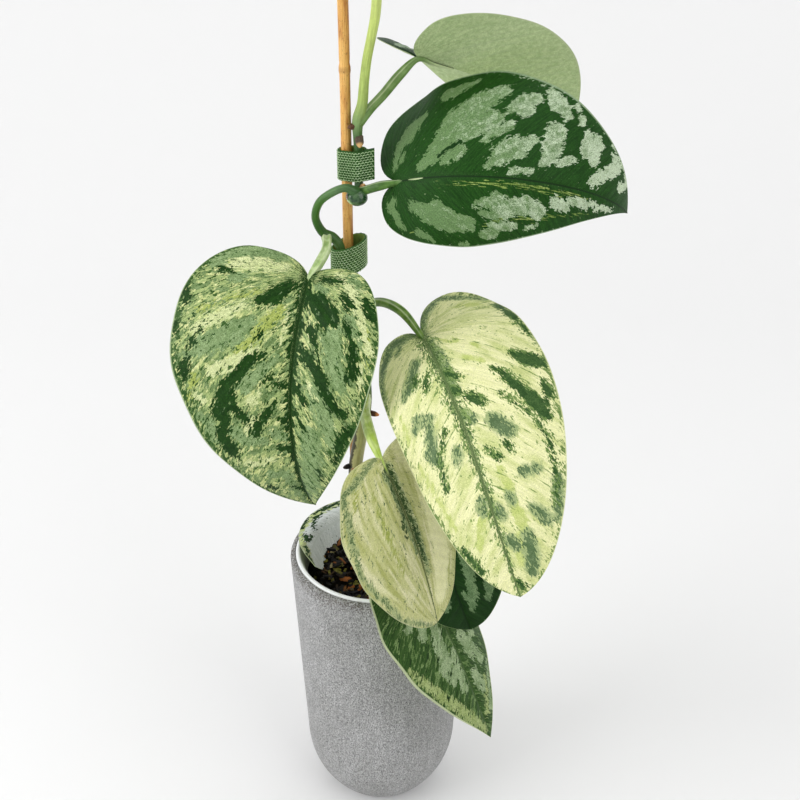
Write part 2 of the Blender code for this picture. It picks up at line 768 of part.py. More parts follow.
def flat_blade(length, left, right):
    """A flat blade: points with their half's side and share of its width, and triangles."""
    points = [(length * station / STATIONS, 0.0) for station in range(STATIONS + 1)]
    halves = [0] * len(points)
    triangles = []
    for side, half in ((1, left), (-1, right)):
        rows = []
        for number, (start, end) in enumerate(veins(length, half)):
            root = max(0, number - LOBE_RAYS + 1)
            row = [root]
            bow = VEIN_BOW * (end - start)[1]
            for k in range(1, ACROSS + 1):
                share = k / ACROSS
                x = start[0] + (end[0] - start[0]) * share - bow * share * (1 - share)
                y = start[1] + (end[1] - start[1]) * share
                row.append(len(points))
                points.append((x, side * y))
                halves.append(side)
            rows.append(row)
        rows.append([STATIONS] * (ACROSS + 1))
        for here, beyond in zip(rows, rows[1:]):
            for k in range(ACROSS):
                for corners in (
                    (here[k], beyond[k + 1], here[k + 1]),
                    (here[k], beyond[k], beyond[k + 1]),
                ):
                    if len(set(corners)) == 3:
                        triangles.append(corners if side > 0 else corners[::-1])
    return np.array(points), np.array(halves), triangles


def bend_blade(leaf, points, halves):
    """Bend flat points about the midrib and along it, and place them in the plant."""
    heading, dip, roll = (math.radians(a) for a in (leaf.heading, leaf.dip, leaf.roll))
    forward = np.array([math.cos(heading) * math.cos(dip), math.sin(heading) * math.cos(dip), -math.sin(dip)])
    level = np.array([-math.sin(heading), math.cos(heading), 0.0])
    above = np.cross(forward, level)
    leftward = level * math.cos(roll) + above * math.sin(roll)
    above = above * math.cos(roll) - level * math.sin(roll)
    frame = np.stack([forward, leftward, above])
    result = []
    for (x, y), side in zip(points, halves):
        half = leaf.left if side >= 0 else leaf.right
        steps = (np.arange(BEND_STEPS) + 0.5) / BEND_STEPS
        away = abs(y)
        fade = np.clip(1.0 - x / leaf.length, 0.0, 1.0)
        fold = half.fold + half.lobe_fold * fade * fade * (3.0 - 2.0 * fade)
        slope = math.radians(fold) - math.radians(half.curl) * steps * away / half.width
        across = side * np.mean(np.cos(slope)) * away
        rise = np.mean(np.sin(slope)) * away
        rise += RIPPLE_HEIGHT * (away / half.width) ** 2 * math.sin(math.tau * RIPPLES * x / leaf.length)
        along = max(x, 0.0)
        pitch = -math.radians(leaf.droop) * steps * along / leaf.length
        yaw = math.radians(leaf.sway) * steps * along / leaf.length
        spine = np.array(
            [
                np.mean(np.cos(pitch) * np.cos(yaw)) * along + min(x, 0.0),
                np.mean(np.cos(pitch) * np.sin(yaw)) * along,
                np.mean(np.sin(pitch)) * along,
            ]
        )
        pitch = -math.radians(leaf.droop) * along / leaf.length
        yaw = math.radians(leaf.sway) * along / leaf.length
        twist = math.radians(leaf.twist) * along / leaf.length
        ahead = np.array([math.cos(pitch) * math.cos(yaw), math.cos(pitch) * math.sin(yaw), math.sin(pitch)])
        beside = np.array([-math.sin(yaw), math.cos(yaw), 0.0])
        over = np.cross(ahead, beside)
        beside, over = (
            beside * math.cos(twist) + over * math.sin(twist),
            over * math.cos(twist) - beside * math.sin(twist),
        )
        result.append((spine + across * beside + rise * over) @ frame + np.array(leaf.base))
    return np.array(result)


def thicken(name, points, triangles):
    """A closed blade, with the same triangles above and below."""
    normals = np.zeros_like(points)
    for a, b, c in triangles:
        face = np.cross(points[b] - points[a], points[c] - points[a])
        for corner in (a, b, c):
            normals[corner] += face
    normals /= np.linalg.norm(normals, axis=1)[:, None]
    count = len(points)
    upper = points + 0.5 * BLADE_THICKNESS * normals
    lower = points - 0.5 * BLADE_THICKNESS * normals
    faces = list(triangles) + [(c + count, b + count, a + count) for a, b, c in triangles]
    edges = {(a, b) for corners in triangles for a, b in zip(corners, corners[1:] + corners[:1])}
    for a, b in sorted(edges):
        if (b, a) not in edges:
            faces += [(b, a, a + count), (b, a + count, b + count)]
    return add_object(name, np.vstack([upper, lower]), faces)


def attach_stalk(blade, route, radius, under, grown_stem):
    """Join the stalk to the blade, running on under its midrib, and clear it from the stem."""
    rows = [[*place, radius] for place in route]
    rows += [[*place, tail] for place, tail in zip(under, STALK_RADII)]
    rows[0][3] = STALK_SHEATH * radius
    stalk = tube("stalk", smooth_route(rows, STALK_STEPS), STALK_SIDES)
    combine(blade, stalk, "UNION")
    cut_clear(blade, grown_stem)
    drop_scraps(blade)


def under_midrib(spine, beside):
    """Points just under the midrib, from points on it and others to their left."""
    ahead = np.gradient(spine, axis=0)
    below = np.cross(beside - spine, ahead)
    below /= np.linalg.norm(below, axis=1)[:, None]
    return spine + below * np.array(STALK_DEPTHS)[:, None]


def make_leaf(name, leaf, grown_stem):
    """One leaf of the vine."""
    points, halves, triangles = flat_blade(leaf.length, leaf.left, leaf.right)
    blade = thicken(name, bend_blade(leaf, points, halves), triangles)
    spots = np.array([[share * leaf.length, 0.0] for share in STALK_REACH])
    spine = bend_blade(leaf, spots, [1, 1, 1])
    beside = spine + bend_blade(leaf, spots + [0.0, 1.0], [1, 1, 1])
    beside -= bend_blade(leaf, spots - [0.0, 1.0], [-1, -1, -1])
    attach_stalk(blade, leaf.stalk, leaf.stalk_radius, under_midrib(spine, beside), grown_stem)
    return blade


def in_pot(flat):
    """Lay flat points along the pot's wall: low inside, over the rim outside."""
    angle = math.radians(POT_LEAF_START) + flat[:, 0] / POT_LEAF_RING
    radius = POT_LEAF_RING - flat[:, 1]
    start, end = POT_LEAF_BEND
    share = np.clip((radius - start) / (end - start), 0.0, 1.0)
    height = POT_LEAF_FLOOR + (POT_LEAF_TOP - POT_LEAF_FLOOR) * share**2 * (3.0 - 2.0 * share)
    return np.stack([radius * np.cos(angle), radius * np.sin(angle), height], axis=1)


def make_pot_leaf(grown_stem):
    """The young leaf that lies in the mouth of the pot."""
    flat, _, triangles = flat_blade(POT_LEAF_LENGTH, POT_LEAF_LEFT, POT_LEAF_RIGHT)
    blade = thicken("leaf_in_pot", in_pot(flat), triangles)
    spots = np.array([[share * POT_LEAF_LENGTH, 0.0] for share in STALK_REACH])
    under = under_midrib(in_pot(spots), in_pot(spots + [0.0, 1.0]))
    attach_stalk(blade, POT_LEAF_STALK, POT_LEAF_STALK_RADIUS, under, grown_stem)
    return blade


def main():
    """Build the whole plant in its pot."""
    clear_scene()
    make_planter()
    make_nursery_pot()
    grown_stem = stem_solid("grown_stem", GAP)
    make_substrate([tube("stake_hole", deeper(stake_route()), STAKE_SIDES, GAP), stem_hole()])
    tube("stake", stake_route(), STAKE_SIDES)
    make_upper_tie()
    make_lower_tie()
    stem_solid("vine_stem", 0.0)
    for name, leaf in LEAVES.items():
        make_leaf(name, leaf, grown_stem)
    make_pot_leaf(grown_stem)
    bpy.data.objects.remove(grown_stem, do_unlink=True)
    for thing in bpy.data.objects:
        dress(thing)


main()
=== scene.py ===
"""Visual model of the potted satin pothos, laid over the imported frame.

Lengths are in millimetres and angles in degrees, turned into metres where a mesh is made.
Colours are written as sRGB values from 0 to 255 and turned into linear ones for the shaders.
"""

import math
from dataclasses import dataclass
from functools import partial, partialmethod

import bpy
import numpy as np
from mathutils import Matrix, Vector, noise


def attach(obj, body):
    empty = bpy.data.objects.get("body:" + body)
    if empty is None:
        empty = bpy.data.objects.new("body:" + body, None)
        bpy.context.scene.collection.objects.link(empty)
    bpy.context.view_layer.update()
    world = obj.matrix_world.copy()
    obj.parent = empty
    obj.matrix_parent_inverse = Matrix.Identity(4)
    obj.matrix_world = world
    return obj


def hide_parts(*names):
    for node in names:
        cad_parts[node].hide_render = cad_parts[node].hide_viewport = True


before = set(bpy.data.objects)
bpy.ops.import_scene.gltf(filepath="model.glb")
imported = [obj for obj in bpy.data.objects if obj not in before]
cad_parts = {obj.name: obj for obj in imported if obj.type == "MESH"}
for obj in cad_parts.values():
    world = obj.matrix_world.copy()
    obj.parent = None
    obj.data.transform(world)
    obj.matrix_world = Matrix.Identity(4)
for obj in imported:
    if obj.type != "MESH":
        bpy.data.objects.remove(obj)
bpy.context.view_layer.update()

MM = 0.001

# Camera
CAMERA_PLACE = (11.0, -604.4, 624.0)
CAMERA_LENS = 63.0
CAMERA_SENSOR = 36.0
CAMERA_TILT = 58.75

# Floor and light, in metres and watts: each light's name, place, target, size and power
FLOOR_MIDDLE = -0.9
FLOOR_FLAT = 1.5
FLOOR_BEND = 1.0
FLOOR_RISE = 1.4
FLOOR_STEPS = 24
FLOOR_SIDES = 96
WORLD_STRENGTH = 0.63
LIGHTS = (
    ("key", (-1.3, -0.5, 0.7), (0.0, 0.0, 0.15), 1.0, 12.0),
    ("fill", (1.0, -1.0, 1.2), (0.0, 0.0, 0.25), 1.2, 8.0),
    ("top", (0.0, 0.5, 2.0), (0.0, 0.8, 0.0), 2.0, 10.0),
)

# Planter, nursery pot and substrate, as in the frame
PLANTER_HEIGHT = 163.0
PLANTER_LIP_RADIUS = 48.0
PLANTER_WAIST_RADIUS = 42.2
PLANTER_BOTTOM_ARC = 52.7
PLANTER_BOTTOM_SWEEP = 50.0
PLANTER_LIP_ROUNDING = 2.4
PLANTER_WALL = 5.0
PLANTER_FLOOR = 9.0
PLANTER_BOTTOM_STEPS = 30
PLANTER_LIP_STEPS = 10
INSIDE_STEPS = 16
SEAT_DEPTH = 1.5
SEAT_GAP = 0.3
POT_FLANGE_RADIUS = 45.2
POT_FLANGE_INSIDE = 42.7
POT_RIM_RISE = 0.9
POT_WALL = 1.2
POT_TOP_RADIUS = 42.4
POT_FOOT_RADIUS = 31.0
POT_DEPTH = 86.0
TURNED_SIDES = 144
SOIL_DROP = 14.0
SOIL_TOP_GAP = 0.5
SOIL_FOOT_GAP = 1.9
SOIL_FOOT_RISE = 2.2
SOIL_SEED = 7
SOIL_RINGS = 44
SOIL_SIDES = 150
SOIL_LUMP_PITCH = 6.0
SOIL_LUMP_LIMIT = 1.3
HEAP_ANGLES = (84.0, 216.0)
HEAP_FADE = 14.0
HEAP_RADII = (12.0, 25.0, 34.6)
HEAP_EDGE = 3.0
HEAP_HEIGHT = 4.8
CHIPS = 760
CHIP_SIZES = ((1.6, 4.8), (0.7, 1.9), (0.4, 1.1))
CHIP_INSET = 2.0
BIG_CHIP_EVERY = 9
BIG_CHIP_SCALE = 1.4
CHIP_ROUGHNESS = 0.28
CHIP_COLOURS = (
    (0.0, (6, 6, 3)), (0.5, (13, 10, 5)), (0.6, (56, 38, 14)), (0.7, (150, 86, 30)),
    (0.78, (62, 58, 15)), (0.9, (112, 108, 32)), (0.96, (52, 38, 20)), (1.0, (172, 158, 112)),
)

# Stake
STAKE_RADIUS = 2.45
STAKE_FOOT = (-11.7, 3.0, 82.0)
STAKE_HEAD = (-14.4, 3.0, 498.0)
STAKE_RINGS = 240
STAKE_SIDES = 40
STAKE_KNOTS = (0.22, 0.5, 0.83)
STAKE_KNOT_RISE = 0.35

# Ties
TIE_WIDTH = 14.5
TIE_LEVELS = (-0.5, -0.47, -0.25, 0.0, 0.25, 0.47, 0.5)
TIE_BACKING = 0.9
TIE_SIDES = 96
LOOP_ANGLES = np.arange(360) * math.tau / 360
TIE_RIM_PULL = 0.2
TIE_RIM_WAVE = 0.12
TIE_RIM_WAVES = 18.0
UPPER_TIE_HEIGHT = 383.5
UPPER_TIE_SLOPE = 8.0
UPPER_TIE_ROOM = 0.5
UPPER_TIE_STEM = (-7.9, -1.1, 2.2)
UPPER_TIE_FLAP = ((-6.6, -4.55), (-0.6, -3.6), (-0.6, -1.6), (-4.9, -2.3))
LOWER_TIE_HEIGHT = 338.0
LOWER_TIE_SLOPE = 20.0
LOWER_TIE_MIDDLE = (-13.2, -1.1)
LOWER_TIE_RADII = (7.4, 6.9)
HOOK_ROW = 1.2
HOOK_PITCH = 1.5
HOOK_SPAN = 1.25
HOOK_RISE = 0.7
HOOK_STANDS = 0.42
HOOK_WIRE = 0.19
HOOK_RINGS = 6
HOOK_SIDES = 4

# Stem: places and radii on its way up, and the colours along it
STEM_ROUTE = (
    (-8.5, -4.0, 118.0, 3.0), (-8.5, -4.0, 150.0, 3.2), (-10.5, -4.5, 178.0, 3.4),
    (-12.0, -4.5, 200.0, 3.1),
    (-12.0, -4.5, 220.0, 3.5), (-8.8, -4.5, 241.0, 3.3), (-6.4, -4.5, 262.0, 3.3), (-7.4, -4.0, 284.0, 2.6),
    (-9.0, -4.5, 304.0, 2.7), (-11.5, -5.0, 317.0, 2.6), (-14.4, -4.3, 327.0, 2.2), (-16.2, -3.6, 336.0, 2.1),
    (-17.2, -3.2, 343.5, 2.2), (-20.4, -3.2, 348.4, 2.3), (-25.4, -3.6, 351.6, 2.2),
    (-28.3, -5.0, 359.5, 1.9),
    (-26.0, -6.6, 367.6, 1.9), (-20.0, -8.0, 373.0, 1.9), (-14.0, -8.4, 375.4, 1.9), (-9.6, -7.4, 373.2, 2.6),
    (-8.0, -3.4, 371.6, 2.4), (-8.0, -1.2, 377.5, 1.9), (-7.8, -1.0, 386.0, 1.9), (-8.2, -1.0, 397.0, 2.1),
    (-8.0, -1.0, 405.0, 2.6), (-5.9, -2.0, 413.0, 2.4), (-4.9, -2.0, 423.0, 2.2), (-3.6, -2.2, 433.0, 2.1),
    (-1.6, -2.8, 443.0, 2.1), (0.2, -3.0, 452.0, 2.2), (1.2, -3.0, 462.0, 2.3), (2.2, -3.2, 476.0, 2.9),
    (3.4, -3.8, 490.0, 2.2), (5.0, -5.0, 503.0, 0.6),
)
STEM_COLOURS = (
    (0.0, (84, 74, 48)), (0.2, (150, 144, 92)), (0.27, (168, 164, 108)), (0.31, (156, 158, 98)),
    (0.36, (84, 112, 52)), (0.55, (72, 104, 54)), (0.585, (44, 84, 26)), (0.62, (62, 108, 34)),
    (0.645, (88, 122, 76)), (0.665, (56, 94, 48)), (0.7, (46, 80, 38)), (0.74, (62, 98, 50)),
    (0.76, (122, 150, 92)), (0.79, (160, 182, 96)), (0.87, (188, 206, 112)), (0.94, (206, 220, 134)),
    (1.0, (222, 230, 166)),
)
STEM_SIDES = 32
CURVE_STEPS = 10
FURLED_FROM = 0.885
FURLED_FADE = 0.03
KNUCKLE_CENTRE = (-8.7, -7.0, 370.4)
KNUCKLE_RADIUS = 4.5
KNUCKLE_DIVISIONS = 5
KNUCKLE_STRETCH = (1.12, 0.92, 0.9)
KNUCKLE_SPOTS = (((-13.3, -8.4, 370.6), 1.5, (92, 62, 40)), ((-12.6, -8.6, 367.8), 2.6, (160, 188, 118)))

# Root nubs: name, place on the stem, direction, length, radius, and the colours of body and tip
NUBS = (
    ("nub_upper_left", (-9.2, -1.4, 402.6), (-1.0, -0.3, -0.2), 3.6, 1.6, (84, 56, 38), (96, 66, 46)),
    ("nub_upper_front", (-7.4, -2.6, 396.4), (0.1, -1.0, -0.6), 4.4, 2.0, (84, 72, 58), (204, 164, 108)),
    ("nub_middle", (-3.4, -5.0, 252.6), (1.0, -0.5, 0.0), 4.4, 1.4, (84, 54, 40), (214, 138, 84)),
    ("nub_lower_left", (-14.6, -5.6, 221.0), (-1.0, -0.4, -0.1), 4.0, 1.4, (18, 12, 8), (30, 18, 12)),
    ("nub_lower_front", (-12.4, -7.2, 220.0), (-0.1, -1.0, -0.1), 2.6, 1.4, (150, 96, 64), (214, 140, 104)),
    ("nub_knuckle", (-6.2, -4.6, 374.4), (0.4, -0.6, 0.8), 2.6, 1.2, (168, 128, 80), (190, 150, 100)),
)
NUB_SEED = 40
NUB_SINK = 1.2
NUB_SIDES = 20
NUB_STEPS = 4
NUB_SHAPE = ((0.0, 1.0), (0.45, 0.98), (0.7, 0.8), (0.88, 0.5), (0.97, 0.25), (1.0, 0.05))

# Blades
HALF_THICKNESS = 0.3
MARGIN_HALF_THICKNESS = 0.14
VEIN_LEAN = 1.0
VEIN_BOW = 0.3
VEIN_PITCH = 7.5
MARGIN_STEPS = (40, 60, 160)
LOBE_ROWS = 40
STATION_ROWS = 104
COLUMNS = 30
BEND_STEPS = 24
RIPPLES = 3.5
PATCH_CONTRAST = 0.14
PATCH_CELL = (3.2, 6.0)
FINE_STREAK = (0.8, 9.0)
GRAIN_PITCH = 0.42
MOTTLE_PITCH = 2.2
SIDE_SHIFT = 31.7
SEED_SHIFT = 7.3
MIDRIB_GROOVE = 0.55
MIDRIB_GROOVE_WIDTH = 1.1
RIB_WIDTH = 0.55
QUILT_HEIGHT = 0.16
UNDULATION = 0.5
UNDULATION_PITCH = (34.0, 26.0)
STROKE_REACH = 6.0
ARC_SPREAD = 36.0

# Stalks: where the end lies under the midrib, as shares of the blade's length, its radii and depths
STALK_REACH = (0.0, 0.09, 0.2)
STALK_RADII = (1.35, 1.0, 0.55)
STALK_DEPTHS = (1.1, 1.1, 0.8)
STALK_SIDES = 24
STALK_FOOT_SWELL = 1.2

# The young leaf in the pot
POT_LEAF_RING = 36.5
POT_LEAF_START = 98.0
POT_LEAF_FLOOR = 152.4
POT_LEAF_TOP = 165.2
POT_LEAF_BEND = (28.0, 41.0)


@dataclass
class Half:
    """The part of a blade on one side of its midrib."""

    width: float
    widest: float
    lobe: float
    fullness: float
    tip_angle: float
    fold: float
    curl: float
    lobe_fold: float = 0.0


@dataclass
class Leaf:
    """A heart-shaped blade on its stalk."""

    length: float
    left: Half
    right: Half
    stalk: tuple
    base: tuple = (0.0, 0.0, 0.0)
    heading: float = 0.0
    dip: float = 0.0
    roll: float = 0.0
    droop: float = 0.0
    sway: float = 0.0
    twist: float = 0.0
    wing: float = 0.0
    ripple: float = 0.9
    stalk_radius: float = 2.2


LEAVES = {
    "leaf_upper_front": Leaf(
        base=(10.0, -12.0, 380.0), heading=-43.0, dip=-24.0, roll=60.0, length=133.0, droop=120.0, twist=14.0,
        left=Half(55.0, 0.32, 17.0, 0.48, 50.0, -3.0, 32.0),
        right=Half(35.0, 0.26, 15.0, 0.40, 13.0, -18.0, 37.0),
        stalk=((-7.6, -3.8, 371.8), (-3.6, -6.8, 374.2), (2.5, -9.6, 377.2)),
    ),
    "leaf_left": Leaf(
        base=(-31.0, -25.0, 338.0), heading=-109.0, dip=41.0, roll=2.0, length=135.0, droop=90.0, wing=0.35,
        left=Half(40.5, 0.23, 6.0, 0.39, 20.0, 13.0, 27.0),
        right=Half(61.5, 0.25, 10.0, 0.37, 45.0, 17.0, 24.0),
        stalk=((-23.4, -3.3, 348.4), (-23.0, -9.0, 349.2), (-23.2, -15.5, 347.4), (-26.6, -21.5, 342.8)),
    ),
    "leaf_right": Leaf(
        base=(21.5, -30.0, 309.5), heading=-74.0, dip=-2.0, roll=21.0, length=140.0, droop=75.0, sway=-21.0,
        left=Half(47.0, 0.25, 27.0, 0.35, 70.0, 7.0, 32.0),
        right=Half(33.5, 0.27, 14.0, 0.34, 66.0, -2.0, 39.0),
        stalk=((-9.6, -4.7, 308.0), (-4.4, -9.0, 316.0), (3.4, -15.6, 320.5), (12.6, -23.6, 319.0)),
    ),
    "leaf_top_back": Leaf(
        base=(19.0, 12.0, 430.0), heading=36.0, dip=23.0, roll=-50.0, length=111.0, droop=2.0, sway=4.0,
        ripple=0.15,
        left=Half(34.0, 0.29, 11.0, 0.47, 38.0, 6.0, 3.0, lobe_fold=49.0),
        right=Half(42.0, 0.29, 10.0, 0.48, 48.0, 1.0, 8.0),
        stalk=((-7.9, -1.0, 403.6), (-2.2, 2.0, 409.6), (3.8, 4.4, 415.4), (11.4, 8.2, 423.4)),
    ),
    "leaf_lower_front": Leaf(
        base=(3.0, -75.0, 270.5), heading=-31.0, dip=62.0, roll=10.0, length=94.0, droop=25.0, sway=5.0,
        left=Half(32.0, 0.30, 5.0, 0.48, 66.0, 13.0, 41.0),
        right=Half(39.0, 0.31, 6.0, 0.47, 66.0, 16.0, 37.0),
        stalk=((-6.5, -4.5, 260.0), (-5.9, -16.0, 266.0), (-5.6, -38.0, 272.5), (-2.4, -61.0, 274.5)),
        stalk_radius=2.6,
        wing=0.5,
    ),
    "leaf_lower_dark": Leaf(
        base=(24.5, -46.0, 232.7), heading=-68.0, dip=51.0, roll=27.0, length=80.0, droop=48.0,
        left=Half(31.5, 0.30, 14.0, 0.43, 62.0, 19.0, 24.0),
        right=Half(31.5, 0.30, 14.0, 0.42, 58.0, 17.0, 24.0),
        stalk=((-12.0, -4.5, 214.0), (-6.0, -12.0, 224.0), (4.0, -24.0, 233.4), (16.0, -38.0, 236.6)),
    ),
    "leaf_hanging": Leaf(
        base=(19.2, -49.5, 189.4), heading=-28.0, dip=60.0, roll=9.0, length=107.0, droop=12.0, twist=-7.0,
        left=Half(35.5, 0.24, 16.0, 0.43, 43.0, 4.0, 38.0),
        right=Half(35.5, 0.22, 17.0, 0.43, 33.0, 4.0, 38.0),
        stalk=((-10.6, -4.5, 180.0), (-5.0, -12.0, 190.0), (5.0, -26.0, 197.4), (14.0, -42.0, 196.4)),
    ),
}
POT_LEAF = Leaf(
    length=66.0,
    left=Half(12.0, 0.36, 5.0, 0.50, 48.0, 0.0, 0.0),
    right=Half(12.0, 0.36, 5.0, 0.30, 30.0, 0.0, 0.0),
    stalk=((-8.6, -4.0, 157.0), (-3.4, 4.0, 159.5), (-1.6, 16.0, 161.5), (-3.0, 29.0, 161.5)),
    stalk_radius=1.5,
)

